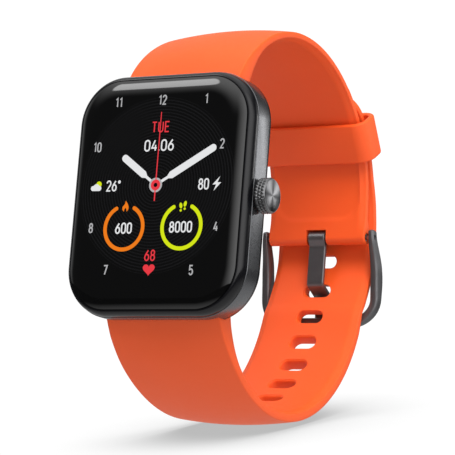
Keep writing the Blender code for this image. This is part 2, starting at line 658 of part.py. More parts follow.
def make_buckle():
    bar_angle = asin(BUCKLE_BAR_Z / (BACK_RADIUS + BUCKLE_BAR_OFFSET))
    bar = loop_point(bar_angle, BUCKLE_BAR_OFFSET)
    centre = (0, *bar)
    tube = turned("buckle_bar_tube", [(-10.2, BAR_RADIUS), (10.2, BAR_RADIUS)], "x", centre,
                  MATERIALS["steel"], 20)
    cut_bore(tube, "buckle_tube_bore", "x", centre, PIN_RADIUS + 0.08, -12, 12, 16)
    for side, sign in (("left", -1), ("right", 1)):
        low, high = sorted((sign * 7.8, sign * 11.8))
        turned(f"buckle_pin_{side}", [(low, PIN_RADIUS), (high, PIN_RADIUS)], "x", centre,
               MATERIALS["steel"], 12)

    frame = make_buckle_frame(bar)
    cut_bore(frame, "frame_pin_holes", "x", centre, PIN_RADIUS + 0.08, -12.5, 12.5, 16)

    plate_y = bar[0] - TANG_STEP
    tang_line = [(bar[0] - 0.8, bar[1] - 0.5), (plate_y, bar[1] - 1.6), (plate_y, -5.9),
                 (FAR_BAR[0] + 1.4, -7.8), (FAR_BAR[0] + FAR_BAR_HALF_DEPTH + 0.75, -13.9)]
    tang = extruded("buckle_tang", thick_line(tang_line, TANG_THICKNESS), TANG_HALF_X,
                    MATERIALS["dark_metal"])
    curl = turned("tang_curl", [(-TANG_HALF_X, TANG_CURL_RADIUS), (TANG_HALF_X, TANG_CURL_RADIUS)], "x",
                  centre, MATERIALS["dark_metal"], 28)
    combine(tang, curl, "UNION")
    cut_bore(tang, "tang_bore", "x", centre, BAR_RADIUS + 0.08, -3, 3)


clear_scene()
MATERIALS = make_materials()
make_case_frame()
make_bezel_ring()
make_cover_glass()
make_back()
make_internals()
make_motor()
make_crown()
for bar_side, bar_sign in (("upper", 1), ("lower", -1)):
    make_spring_bar(bar_side, bar_sign)
make_strap_upper()
make_strap_lower()
make_keeper()
make_buckle()
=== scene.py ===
"""Looks for the GPS running watch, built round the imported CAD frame.

Everything is in metres in the CAD's own frame: +X to the crown side, +Z to twelve o'clock and
-Y out of the screen.  Shapes are written in millimetres and scaled when a mesh is made.
"""

from math import asin, atan2, copysign, cos, degrees, hypot, pi, radians, sin, sqrt

import bmesh
import bpy
from mathutils import Matrix, Vector


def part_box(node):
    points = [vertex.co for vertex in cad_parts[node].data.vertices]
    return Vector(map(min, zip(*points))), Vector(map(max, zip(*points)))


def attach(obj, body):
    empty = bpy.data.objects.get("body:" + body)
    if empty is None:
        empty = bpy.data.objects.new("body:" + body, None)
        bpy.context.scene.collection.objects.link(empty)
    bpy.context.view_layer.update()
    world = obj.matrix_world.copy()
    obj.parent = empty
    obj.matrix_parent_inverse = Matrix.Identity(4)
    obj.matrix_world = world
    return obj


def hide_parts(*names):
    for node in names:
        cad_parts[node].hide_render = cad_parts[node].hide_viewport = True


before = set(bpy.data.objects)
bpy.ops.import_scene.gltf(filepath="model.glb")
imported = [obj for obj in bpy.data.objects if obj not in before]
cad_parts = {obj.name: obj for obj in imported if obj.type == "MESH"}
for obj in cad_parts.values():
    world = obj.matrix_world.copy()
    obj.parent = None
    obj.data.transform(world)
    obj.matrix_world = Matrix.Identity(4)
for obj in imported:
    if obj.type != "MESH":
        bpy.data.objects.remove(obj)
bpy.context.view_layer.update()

MM = 0.001
QUARTER = pi / 2


def node_box(name):
    """Lowest and highest corner of a CAD node, in millimetres."""
    low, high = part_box(name)
    return low / MM, high / MM


def node_axis(name):
    """(y, z) of the middle of a CAD node that lies along X, in millimetres."""
    low, high = node_box(name)
    return (low.y + high.y) / 2, (low.z + high.z) / 2


# ---- sizes

CASE_LOW, CASE_HIGH = node_box("case_frame")
CASE_HALF_X = CASE_HIGH.x
CASE_HALF_Z = CASE_HIGH.z
CASE_CORNER = 8.8
CASE_BACK = CASE_HIGH.y
CASE_BACK_INSET = 1.5
BAND_FRONT = CASE_LOW.y
BAND_BACK = BAND_FRONT + 4.26
BAND_FILLET = 0.12
BAND_CHAMFER = 0.5
BAND_SHADE_MARGINS = (0.60, 0.40)
CAVITY_STEP = -6.4
FRONT_CAVITY = (16.4, 20.0, 7.3)
REAR_CAVITY = (14.9, 15.9, 7.0)
CROWN_HOLE_RADIUS = 1.55
SCREW_PLACES = [(x, z) for x in (-13.2, 13.2) for z in (-15.4, 15.4)]
SCREW_HOLE_RADIUS = 0.6

BEZEL_LOW, BEZEL_HIGH = node_box("bezel_ring")
BEZEL_TOP = BEZEL_LOW.y
BEZEL_BACK = BEZEL_HIGH.y
BEZEL_LEDGE = -8.95
BEZEL_OPENING = (15.3, 18.95, 6.2)
BEZEL_INSETS = (0.12, 1.15)
GLASS_LOW, GLASS_HIGH = node_box("cover_glass")
GLASS_TOP = GLASS_LOW.y
GLASS_BACK = GLASS_HIGH.y
GLASS_EDGE = -9.9
GLASS_INSET = CASE_HALF_X - GLASS_HIGH.x
GLASS_GAP = 0.10
GLASS_EDGE_WIDTH = 3.2
GLASS_ROLL_POWER = 2.1

# Back cover: half widths and corner radius, then front, edge and depth of its soft rim
COVER_OUTLINE = (15.8, 17.0, 3.0)
COVER_FRONT = -1.5
COVER_EDGE = -0.95
COVER_RIM = (0.35, 0.5)
WINDOW_RADIUS = 6.95
CHARGING_PIN_X = 1.5
CHARGING_PIN_Z = -13.0
APERTURE_DISTANCE = 3.4
LED_X = 0.62

BAR_Y, BAR_Z = node_axis("upper_bar_fixed_pin")
BAR_RADIUS = 0.75
PIN_RADIUS = 0.4
PIN_REACH = 12.7
POCKET_HALF_X = 11.75
POCKET_FLOOR_Z = 17.1
POCKET_FRONT_Y = -5.9

# Strap loop: circles above and below the middle, joined by a flatter arc at the back
LOOP_Y = 20.6
LOOP_Z = 5.0
LOOP_RADIUS = 28.5
BACK_RADIUS = 60.0
BACK_Y = LOOP_Y - sqrt((BACK_RADIUS - LOOP_RADIUS) ** 2 - LOOP_Z ** 2)
JOIN_ANGLE = asin(LOOP_Z / (BACK_RADIUS - LOOP_RADIUS))

# A tool of this half length passes right through the strap
STRAP_REACH = 13.0
STRAP_EDGE = 1.6
STRAP_ROUNDING = 0.28
STRAP_BEVEL = (1.1, 0.46)
FACE_POINTS = 44
CORNER_POINTS = 5
LUG_HALF_WIDTH = 11.55
BACK_HALF_WIDTH = 10.4
KNUCKLE_RADIUS = 2.1
LUG_BAR_ANGLE = atan2(BAR_Z - LOOP_Z, BAR_Y - LOOP_Y)
LUG_BAR_OFFSET = hypot(BAR_Z - LOOP_Z, BAR_Y - LOOP_Y) - LOOP_RADIUS
LUG_START = 147.0
LUG_STEP = 1.4
LEVER_NOTCH_X = (-9.0, -6.0)

# Knots along the strap: elevation in degrees, then a height off the loop or a width
HALF_WIDTHS = [(0, BACK_HALF_WIDTH), (90, 10.8), (115, 11.2), (130, LUG_HALF_WIDTH)]
LUG_INNER = [(125, 0.0), (133, -0.3), (141.4, -1.1), (148, -2.4)]
LUG_OUTER_ABOVE = [(60, 1.5), (110, 1.6), (130, 1.9), (141.4, 2.0), (148, 1.7)]
LUG_OUTER_BELOW = [(60, 2.1), (110, 2.0), (141.4, 2.0), (148, 1.7)]
LAP_INNER = [(-15, 0.0), (-12, 0.15), (-9, 0.8), (-6, 1.75), (-3, 2.6), (-1, 2.95), (5, 2.95), (11, 2.5),
             (18, 1.95)]
LAP_WINDOW = 1.2
LOWER_THICKNESS = [(-60, 2.1), (-20, 2.1), (-12, STRAP_EDGE)]

UPPER_START = 54.5
UPPER_STEP = 0.42
UPPER_CROWN = 0.4
STRAP_END_RADIUS = 1.35
STRAP_END_LENGTH = 4.0
TRAY_MIDDLE = 13.9
TRAY_HALF_LENGTH = 7.1
TRAY_HALF_X = 9.0
TRAY_CORNER = 4.0
TRAY_SOFTNESS = 0.8
TRAY_DEPTH = 0.22

LOWER_START = -60.5
LOWER_STEP = 0.5
LOWER_CROWN = 0.6
LOWER_HOLLOW = 0.45
TIP_ANGLE = radians(54)
TIP_LENGTH = 8.0
TIP_STEP = 0.08
TIP_FINE_LENGTH = 2.0
TIP_ROUNDING = 0.8
TIP_BLUNTNESS = 0.015
SLOT_PITCH = 6.0
SLOT_HALF_X = 2.7
SLOT_RADIUS = 1.25
SLOT_CROWN = 0.58
SLOT_NUMBERS = range(-5, 5)
SLOT_END_POINTS = 15
# Depth below either face and how much wider the slot is there
SLOT_FLARE = [(-2.0, 0.9), (0.05, 0.30), (0.12, 0.14), (0.30, 0.03), (0.5, 0.0)]
TANG_SLOT_ANGLE = radians(-6.4)

BUCKLE_BAR_Y, BUCKLE_BAR_Z = node_axis("buckle_bar_tube")
BUCKLE_BAR = (0, BUCKLE_BAR_Y, BUCKLE_BAR_Z)
BUCKLE_BAR_OFFSET = 0.45
BUCKLE_BORE_GAP = 0.08
END_INNER = [(4, BUCKLE_BAR_OFFSET - STRAP_END_RADIUS), (24, 0.0)]
BUCKLE_ARM_INNER_X = 10.95
BUCKLE_ARM_HALF_WIDTH = 0.9
BUCKLE_ARM_HALF_DEPTH = 1.4
BUCKLE_TOP_HALF_WIDTH = 0.55
BUCKLE_TOP_Z = BUCKLE_BAR_Z + 1.0
BUCKLE_CORNER = 4.6
BUCKLE_ROUNDNESS = 0.6
BUCKLE_DOME = 0.5
FAR_BAR_Y = LOOP_Y + 31.4
FAR_BAR_Z = -13.0
FAR_BAR_HALF_DEPTH = 1.05
# Knots down the buckle's arms: Z, then the bow away from the wrist
BUCKLE_BOW = [(FAR_BAR_Z, 0.0), (-10.0, 0.55), (-5.0, 0.35), (-1.0, -0.4)]

TANG_HALF_X = 1.75
TANG_THICKNESS = 0.85
TANG_STEP = 0.1
TANG_BEVEL = 0.16
TANG_BEND = 0.55
TANG_CURL_RADIUS = 1.35
TANG_CURL_BEVEL = 0.12
TANG_NOTCH_NEAR_Y = 46.0
TANG_NOTCH_FAR_Y = 54.0
TANG_NOTCH_GAP = 0.4
TANG_NOTCH_TOP = 1.45

KEEPER_ANGLE = radians(33.6)
KEEPER_HALF_WIDTH = 3.9
KEEPER_HALF_X = 12.45
KEEPER_LOW = -1.6
KEEPER_HIGH = 5.9
KEEPER_WALL = 1.1
KEEPER_CORNER = 2.3
KEEPER_SOFT_EDGE = 0.42

CROWN_LOW, CROWN_HIGH = node_box("crown_knob")
CROWN_IN = CROWN_LOW.x
CROWN_OUT = CROWN_HIGH.x
CROWN_Y, CROWN_Z = node_axis("crown_knob")
CROWN_AXIS = (0, CROWN_Y, CROWN_Z)
CROWN_RADIUS = (CROWN_HIGH.z - CROWN_LOW.z) / 2
CROWN_BORE_RADIUS = 0.8
KNURL_MARGIN = 0.16
KNURL_DEPTH = 0.20
KNURL_ROWS = 3
KNURL_TEETH = 30
KNURL_ROW_STEPS = 8
KNURL_TOOTH_STEPS = 6
KNURL_ROUNDNESS = 0.6

DIAL_Y = GLASS_TOP - 0.004
DIAL_LAYER = 0.008
DIAL_CENTRE_Z = 1.25
DIAL_RING_PITCH = 0.55
DIAL_RINGS_RADIUS = 15.5
GAUGE_X = {"left": -5.75, "right": 5.85}
GAUGE_Z = -6.1
GAUGE_RADIUS = 3.84
GAUGE_WIDTH = 0.70
GAUGE_ANGLES = (118, 422)


# ---- materials

MATERIALS = {}
BUMP_DISTANCE = 0.0001


class Nodes:
    """Node tree of a material or a world, with short ways to add and join its nodes."""

    def __init__(self, owner):
        owner.use_nodes = True
        self.owner = owner
        self.nodes = owner.node_tree.nodes

    def feed(self, socket, value):
        """Links another node's output to a socket, or sets a plain value there."""
        if isinstance(value, bpy.types.NodeSocket):
            self.owner.node_tree.links.new(value, socket)
        else:
            socket.default_value = value

    def add(self, kind, inputs, **settings):
        node = self.nodes.new("ShaderNode" + kind)
        for key, value in settings.items():
            setattr(node, key, value)
        for key, value in inputs.items():
            self.feed(node.inputs[key], value)
        return node

    def position(self):
        return self.add("TexCoord", {}).outputs["Object"]

    def axes(self):
        """Outputs X, Y and Z of the position."""
        return self.add("SeparateXYZ", {"Vector": self.position()}).outputs

    def noise(self, scale, detail=3.0):
        inputs = {"Scale": scale, "Detail": detail, "Vector": self.position()}
        return self.add("TexNoise", inputs).outputs["Fac"]

    def spread(self, value, low, high, start=0.0, end=1.0, kind="LINEAR"):
        """Maps a value between start and end to one between low and high."""
        inputs = {"Value": value, "From Min": start, "From Max": end, "To Min": low, "To Max": high}
        return self.add("MapRange", inputs, interpolation_type=kind).outputs["Result"]

    def math(self, operation, *values):
        return self.add("Math", dict(enumerate(values)), operation=operation).outputs["Value"]

    def radius(self, first, second):
        squares = [self.math("MULTIPLY", side, side) for side in (first, second)]
        return self.math("SQRT", self.math("ADD", *squares))

    def choose(self, share, first, second):
        """The first number where the share is 0, the second where it is 1."""
        return self.add("Mix", {0: share, 2: first, 3: second}).outputs[0]

    def mix(self, share, first, second, **settings):
        """Colour between two others, or another blend of them."""
        node = self.add("Mix", {0: share}, data_type="RGBA", **settings)
        colours = [socket for socket in node.inputs if socket.type == "RGBA"]
        for socket, value in zip(colours, (first, second)):
            self.feed(socket, (*value, 1.0) if isinstance(value, tuple) else value)
        return [socket for socket in node.outputs if socket.type == "RGBA"][0]


class Shader(Nodes):
    """Material with a Principled BSDF, kept under its name in MATERIALS."""

    def __init__(self, name):
        super().__init__(bpy.data.materials.new(name))
        MATERIALS[name] = self.owner
        self.surface = self.nodes["Principled BSDF"]

    def set(self, **values):
        """Feeds inputs of the surface; their names have an underscore for each space."""
        for key, value in values.items():
            self.feed(self.surface.inputs[key.replace("_", " ")], value)

    def bump(self, height, strength):
        inputs = {"Strength": strength, "Distance": BUMP_DISTANCE, "Height": height}
        self.set(Normal=self.add("Bump", inputs).outputs["Normal"])


def mottled_material(name, colours, roughness, grains, bump=0.0, bump_detail=3.0, **settings):
    """Colour and roughness each wander over a noise, under a fine bumpy grain."""
    colour_grain, roughness_grain, bump_grain = grains
    shader = Shader(name)
    shader.set(Base_Color=shader.mix(shader.noise(colour_grain), *colours),
               Roughness=shader.spread(shader.noise(roughness_grain), *roughness), **settings)
    if bump:
        shader.bump(shader.noise(bump_grain, bump_detail), bump)


def plain_material(name, colour, roughness, metallic=0.0, grain=2500.0, coat=0.0):
    """Small parts: one colour, a little darker in specks."""
    dark = tuple(channel * 0.86 for channel in colour)
    mottled_material(name, (dark, colour), (roughness * 0.85, roughness * 1.15),
                     (grain, grain / 3, grain), 0.06, Metallic=metallic, Coat_Weight=coat)


def silicone_material():
    """Moulded silicone: matte with a soft sheen, faint clouding and a fine bead-blasted grain."""
    mottled_material("silicone", ((0.76, 0.086, 0.0130), (0.80, 0.095, 0.0155)), (0.52, 0.62),
                     (110.0, 900.0, 5200.0), 0.08, 2.0, Subsurface_Weight=0.12,
                     Subsurface_Radius=(1.0, 0.35, 0.15), Subsurface_Scale=0.0006,
                     Specular_IOR_Level=0.34)


def dark_metal_material():
    """Gunmetal coat on the buckle: fine grain, brighter where the coat is thin."""
    mottled_material("dark_metal", ((0.13, 0.13, 0.135), (0.17, 0.17, 0.176)), (0.30, 0.42),
                     (600.0, 2500.0, 6000.0), 0.05, Metallic=0.75)


def knurl_metal_material():
    """Bare metal of the crown's rim."""
    mottled_material("knurl_metal", ((0.16, 0.16, 0.165), (0.24, 0.24, 0.245)), (0.25, 0.38),
                     (2200.0, 3000.0, None), Metallic=1.0)


def satin_metal_material():
    """Bead-blasted, anodised aluminium of the side band, with painted shade that turns it black from just
    before its back edge.
    """
    shader = Shader("satin_metal")
    grain = shader.noise(7000.0, 2.0)
    # Painted shade: the band's back edge, its chamfer and the case behind them are painted near-black
    start, end = ((BAND_BACK - margin) * MM for margin in BAND_SHADE_MARGINS)
    back_painted_shade = shader.spread(shader.axes()["Y"], 0.0, 1.0, start, end, "SMOOTHSTEP")
    satin = shader.mix(grain, (0.165, 0.168, 0.176), (0.185, 0.188, 0.197))
    shader.set(Base_Color=shader.mix(back_painted_shade, satin, (0.02, 0.02, 0.022)),
               Roughness=shader.spread(shader.noise(1500.0), 0.24, 0.32), Metallic=0.92)
    shader.bump(grain, 0.02)


def gloss_black_material():
    """Polished black coat with faint waviness under it."""
    shader = Shader("black_gloss")
    shader.set(Base_Color=(0.004, 0.004, 0.005, 1.0), Specular_IOR_Level=0.45,
               Roughness=shader.spread(shader.noise(700.0), 0.13, 0.19))
    shader.bump(shader.noise(420.0), 0.02)


def screen_glass_material():
    """Black glass with the dial's faint rings, centred on the hands, showing through."""
    shader = Shader("cover_glass")
    place = shader.axes()
    radius = shader.radius(place["X"], shader.math("SUBTRACT", place["Z"], DIAL_CENTRE_Z * MM))
    wave = shader.math("SINE", shader.math("MULTIPLY", radius, 2 * pi / (DIAL_RING_PITCH * MM)))
    line = shader.math("GREATER_THAN", wave, 0.35)
    inside = shader.math("LESS_THAN", radius, DIAL_RINGS_RADIUS * MM)
    share = shader.math("MULTIPLY", line, inside)
    shader.set(Base_Color=shader.mix(share, (0.0008, 0.0008, 0.0009), (0.0052, 0.0052, 0.0058)),
               Roughness=0.05, Specular_IOR_Level=1.0)


def spun_metal_material():
    """Crown face turned on a lathe: rings round the crown's axis give it anisotropic highlights, and bright
    spokes of painted highlight are multiplied into its colour.
    """
    shader = Shader("spun_metal")
    place = shader.axes()
    y = shader.math("SUBTRACT", place["Y"], CROWN_Y * MM)
    z = shader.math("SUBTRACT", place["Z"], CROWN_Z * MM)
    grooves = shader.add("TexNoise", {"Scale": 9000.0, "W": shader.radius(y, z)}, noise_dimensions="1D")
    half_turns = shader.math("MULTIPLY", shader.math("ARCTAN2", y, z), 2.0)
    # Painted highlight: four bright spokes, with dark wedges between them, are painted into the base colour
    painted_highlight_share = shader.math("POWER", shader.math("ABSOLUTE", shader.math("SINE", half_turns)), 1.6)
    rings = shader.mix(grooves.outputs["Fac"], (0.85, 0.85, 0.85), (1.0, 1.0, 1.0))
    painted_highlight_spokes = shader.mix(painted_highlight_share, (0.09, 0.09, 0.095), (0.50, 0.50, 0.515))
    across = shader.add("CombineXYZ", {"Y": shader.math("MULTIPLY", z, -1.0), "Z": y}).outputs["Vector"]
    tangent = shader.add("VectorMath", {0: across}, operation="NORMALIZE").outputs["Vector"]
    shader.set(Base_Color=shader.mix(1.0, rings, painted_highlight_spokes, blend_type="MULTIPLY"), Tangent=tangent,
               Metallic=1.0, Roughness=0.34, Anisotropic=0.85)
    shader.bump(grooves.outputs["Fac"], 0.15)


def light_material(name, colour, strength=1.0):
    """A lit area of the display."""
    shader = Shader(name)
    glow = shader.spread(shader.noise(2500.0), strength * 0.97, strength * 1.03)
    shader.set(Base_Color=(0.0, 0.0, 0.0, 1.0), Roughness=0.3, Specular_IOR_Level=0.0,
               Emission_Color=(*colour, 1.0), Emission_Strength=glow)


silicone_material()
satin_metal_material()
gloss_black_material()
screen_glass_material()
dark_metal_material()
knurl_metal_material()
spun_metal_material()
# Name, colour, roughness, metallic, grain and coat
for settings in (
    ("steel", (0.55, 0.55, 0.57), 0.3, 1.0),
    ("gold", (0.83, 0.60, 0.26), 0.25, 1.0),
    ("black_plastic", (0.02, 0.02, 0.022), 0.42),
    ("board", (0.01, 0.08, 0.04), 0.45, 0.0, 900.0, 0.3),
    ("foil", (0.38, 0.39, 0.41), 0.4, 0.5),
    ("polyimide", (0.5, 0.2, 0.03), 0.35),
    ("dark_rubber", (0.018, 0.018, 0.018), 0.65),
    ("screen", (0.012, 0.012, 0.014), 0.2),
    ("sensor_lens", (0.03, 0.035, 0.03), 0.08, 0.0, 900.0, 0.8),
):
    plain_material(*settings)
# Name, colour and strength
for settings in (
    ("green_led", (0.03, 0.30, 0.10), 0.5),
    ("dial_white", (0.78, 0.79, 0.80)),
    ("dial_grey", (0.44, 0.44, 0.45)),
    ("dial_red", (0.80, 0.045, 0.06)),
    ("dial_orange", (0.86, 0.20, 0.012)),
    ("dial_lime", (0.66, 0.78, 0.01)),
    ("dial_black", (0.004, 0.004, 0.005)),
):
    light_material(*settings)


# ---- mesh tools

def add_object(name, data):
    item = bpy.data.objects.new(name, data)
    bpy.context.scene.collection.objects.link(item)
    return item


def shade(mesh, sharp_degrees):
    mesh.shade_smooth()
    mesh.set_sharp_from_angle(angle=radians(sharp_degrees))


def add_mesh(name, bm, material, sharp_degrees):
    """Object in the scene, smooth but for its sharp edges."""
    bmesh.ops.recalc_face_normals(bm, faces=bm.faces)
    mesh = bpy.data.meshes.new(name)
    bm.to_mesh(mesh)
    bm.free()
    shade(mesh, sharp_degrees)
    mesh.materials.append(MATERIALS[material])
    return add_object(name, mesh)


def add_wall(bm, low, high):
    """Band of quads between two closed rings of vertices."""
    for i, vertex in enumerate(low):
        j = (i + 1) % len(low)
        bm.faces.new((vertex, low[j], high[j], high[i]))


def skin(name, rings, material, closed=False, sharp_degrees=40):
    """Joins rings of equal length with quads; open stacks get a cap at each end."""
    bm = bmesh.new()
    loops = [[bm.verts.new(Vector(point) * MM) for point in ring] for ring in rings]
    for low, high in zip(loops, loops[1:]):
        add_wall(bm, low, high)
    if closed:
        add_wall(bm, loops[-1], loops[0])
    else:
        bm.faces.new(loops[0])
        bm.faces.new(loops[-1])
    return add_mesh(name, bm, material, sharp_degrees)


def cut(target, tools, operation="DIFFERENCE", sharp_degrees=35):
    """Applies a Boolean with each tool, then removes the tools."""
    for tool in tools:
        modifier = target.modifiers.new(tool.name, "BOOLEAN")
        modifier.operation = operation
        modifier.object = tool
        modifier.solver = "EXACT"
    bpy.context.view_layer.update()
    graph = bpy.context.evaluated_depsgraph_get()
    target_mesh = bpy.data.meshes.new_from_object(target.evaluated_get(graph))
    target.modifiers.clear()
    target.data = target_mesh
    shade(target_mesh, sharp_degrees)
    for tool in tools:
        bpy.data.objects.remove(tool, do_unlink=True)


def full_turn(count):
    return [2 * pi * i / count for i in range(count)]


def quarter_turns(steps):
    return [i / steps * QUARTER for i in range(steps + 1)]


def rounded_rectangle(half_x, half_z, corner, segments=20):
    points = []
    for quarter, (sx, sz) in enumerate([(1, 1), (-1, 1), (-1, -1), (1, -1)]):
        for step in range(segments + 1):
            angle = (quarter + step / segments) * QUARTER
            points.append((sx * (half_x - corner) + corner * cos(angle),
                           sz * (half_z - corner) + corner * sin(angle)))
    return points


def stack(name, levels, material, closed=False, segments=20):
    """Skin over rounded rectangles, each given as Y, half widths and corner radius."""
    rings = [[(x, y, z) for x, z in rounded_rectangle(*outline, segments)] for y, *outline in levels]
    return skin(name, rings, material, closed)


AXIS_TURNS = {
    "x": Matrix.Rotation(QUARTER, 4, "Y"),
    "y": Matrix.Rotation(-QUARTER, 4, "X"),
}


def turned(name, profile, axis, centre, material, segments=48):
    """Solid turned about an axis, from places along it and radii."""
    rings = []
    for along, radius in profile:
        circle = [(radius * cos(angle), radius * sin(angle), along) for angle in full_turn(segments)]
        rings.append([Vector(centre) + AXIS_TURNS[axis] @ Vector(point) for point in circle])
    return skin(name, rings, material)


def hole(name, axis, centre, start, end, radius, segments=32):
    """Tool that drills a round hole between two places along an axis."""
    return turned(name, [(start, radius), (end, radius)], axis, centre, "steel", segments)


def box(name, low, high):
    corners = [(low[0], low[2]), (high[0], low[2]), (high[0], high[2]), (low[0], high[2])]
    return skin(name, [[(x, y, z) for x, z in corners] for y in (low[1], high[1])], "steel")


def between(value, knots):
    """Linear interpolation in a list of (value, result) knots."""
    if value <= knots[0][0]:
        return knots[0][1]
    for (low, start), (high, end) in zip(knots, knots[1:]):
        if value <= high:
            return start + (end - start) * (value - low) / (high - low)
    return knots[-1][1]


def smooth_between(value, knots, window):
    """Linear interpolation averaged over a window, which rounds its corners."""
    shares = [step / 4 for step in range(-4, 5)]
    return sum(between(value + share * window, knots) for share in shares) / len(shares)


def blend(value, low, high):
    """Rises smoothly from 0 at the low value to 1 at the high one."""
    t = min(max((value - low) / (high - low), 0.0), 1.0)
    return t * t * (3 - 2 * t)


def show(item, body, slot, *nodes):
    """Rides a finished piece on a body and lets it stand for CAD nodes."""
    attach(item, body)
    if nodes:
        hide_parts(*nodes)


# ---- strap

def loop_point(angle, offset):
    """(y, z) on the strap loop, at an elevation seen from its middle, off its inner face."""
    if abs(angle) > JOIN_ANGLE:
        centre_y, centre_z, radius = LOOP_Y, copysign(LOOP_Z, angle), LOOP_RADIUS
    else:
        centre_y, centre_z, radius = BACK_Y, 0.0, BACK_RADIUS
    reach = radius + offset
    return centre_y + reach * cos(angle), centre_z + reach * sin(angle)


def loop_frame(angle):
    """Point on the loop's inner face, with the directions outwards and along the strap."""
    foot = Vector((0, *loop_point(angle, 0)))
    return foot, Vector((0, cos(angle), sin(angle))), Vector((0, -sin(angle), cos(angle)))


def length_at_angle(angle):
    """Length along the loop's inner face, from the middle of the back."""
    size = abs(angle)
    near = min(size, JOIN_ANGLE) * BACK_RADIUS
    far = max(size - JOIN_ANGLE, 0.0) * LOOP_RADIUS
    return copysign(near + far, angle)


def angle_at_length(length, offset=0.0):
    size = abs(length)
    back_length = (BACK_RADIUS + offset) * JOIN_ANGLE
    if size <= back_length:
        angle = size / (BACK_RADIUS + offset)
    else:
        angle = JOIN_ANGLE + (size - back_length) / (LOOP_RADIUS + offset)
    return copysign(angle, length)


def half_width_at(step):
    """Half the strap's width at an elevation in degrees."""
    return smooth_between(abs(step), HALF_WIDTHS, 3.0)


def strap_section(angle, inner, outer, half_width, inner_crown=0, outer_crown=0, bevel=1.0, tray=None):
    """Closed ring across the strap: rounded edges and a bevel along each side of its inner face."""
    rounding = min(STRAP_ROUNDING, 0.47 * (outer - inner), 0.5 * half_width)
    flat = half_width - rounding
    edge_share = 1 - (flat / half_width) ** 2
    rise = min(STRAP_BEVEL[1] * bevel, 0.3 * (outer - inner))
    bevel_start = max(flat - STRAP_BEVEL[0], 0.0)
    top = outer + outer_crown * edge_share
    bottom = inner + inner_crown * edge_share + rise
    across = [flat * (2 * i / (FACE_POINTS - 1) - 1) for i in range(FACE_POINTS)]
    turns = [i / CORNER_POINTS * QUARTER for i in range(1, CORNER_POINTS)]

    def inner_face(x):
        sunk = tray(x) if tray else 0.0
        slope = rise * blend(abs(x), bevel_start, flat + 0.05)
        return inner + inner_crown * (1 - (x / half_width) ** 2) + max(sunk, slope)

    def corner(side, level, inward, order):
        return [(side * (flat + rounding * sin(turn)), level + inward * rounding * (1 - cos(turn)))
                for turn in order]

    section = [(x, outer + outer_crown * (1 - (x / half_width) ** 2)) for x in across]
    section += corner(1, top, -1, turns) + corner(1, bottom, 1, turns[::-1])
    section += [(x, inner_face(x)) for x in across[::-1]]
    section += corner(-1, bottom, 1, turns) + corner(-1, top, -1, turns[::-1])
    return [(x, *loop_point(angle, depth)) for x, depth in section]


def knuckle_sections(centre_angle, middle, radius, path_radius, direction, half_width):
    """Stations over the round end of a strap, outwards from the bar that it turns on."""
    rings = []
    for step in range(13):
        turn = step / 12.5 * QUARTER
        angle = centre_angle + direction * radius * sin(turn) / path_radius
        half = radius * cos(turn)
        rings.append(strap_section(angle, middle - half, middle + half, half_width, bevel=0.0))
    return rings


def lug_sections(sign, end_degrees):
    """Stations from the lug bar round to an elevation at the top or bottom of the loop."""
    rings = knuckle_sections(LUG_BAR_ANGLE * sign, LUG_BAR_OFFSET, KNUCKLE_RADIUS,
                             LOOP_RADIUS + LUG_BAR_OFFSET, sign, LUG_HALF_WIDTH)
    rings.reverse()
    step = LUG_START
    while step > end_degrees:
        near_bar = step > LUG_START - 2
        inner = smooth_between(step, LUG_INNER, 1.0 if near_bar else 3.0)
        if sign > 0:
            outer = smooth_between(step, LUG_OUTER_ABOVE, 1.0 if near_bar else 4.0)
        else:
            outer = between(step, LUG_OUTER_BELOW)
        # The outer face is flat at the bar, crowned past it and a little flatter over the top
        crown = 0.8 * blend(146 - step, 0, 14) - 0.2 * blend(100 - step, 0, 40)
        rings.append(strap_section(sign * radians(step), inner, outer, half_width_at(step), 0, crown,
                                   blend(142 - step, 0, 16)))
        step -= LUG_STEP
    return rings


def lug_tools(sign, name):
    """Tools for the bar's hole and for the notch that the release lever moves in."""
    low_z, high_z = sorted((sign * (BAR_Z - 0.9), sign * (BAR_Z + 0.9)))
    low_x, high_x = LEVER_NOTCH_X
    bar = (0, BAR_Y, sign * BAR_Z)
    return [hole(name + "_bar_hole", "x", bar, -STRAP_REACH, STRAP_REACH, BAR_RADIUS + 0.1, 24),
            box(name + "_lever_notch", (low_x, BAR_Y, low_z), (high_x, 0.5, high_z))]


def tray_at(length):
    """Depth, across the strap, of the tray moulded in the inner face below the keeper."""
    def depth(x):
        outside_x = max(abs(x) - (TRAY_HALF_X - TRAY_CORNER), 0.0)
        outside_s = max(abs(length - TRAY_MIDDLE) - (TRAY_HALF_LENGTH - TRAY_CORNER), 0.0)
        inside = TRAY_CORNER - hypot(outside_x, outside_s)
        return TRAY_DEPTH * blend(inside, -TRAY_SOFTNESS / 2, TRAY_SOFTNESS / 2)

    return depth


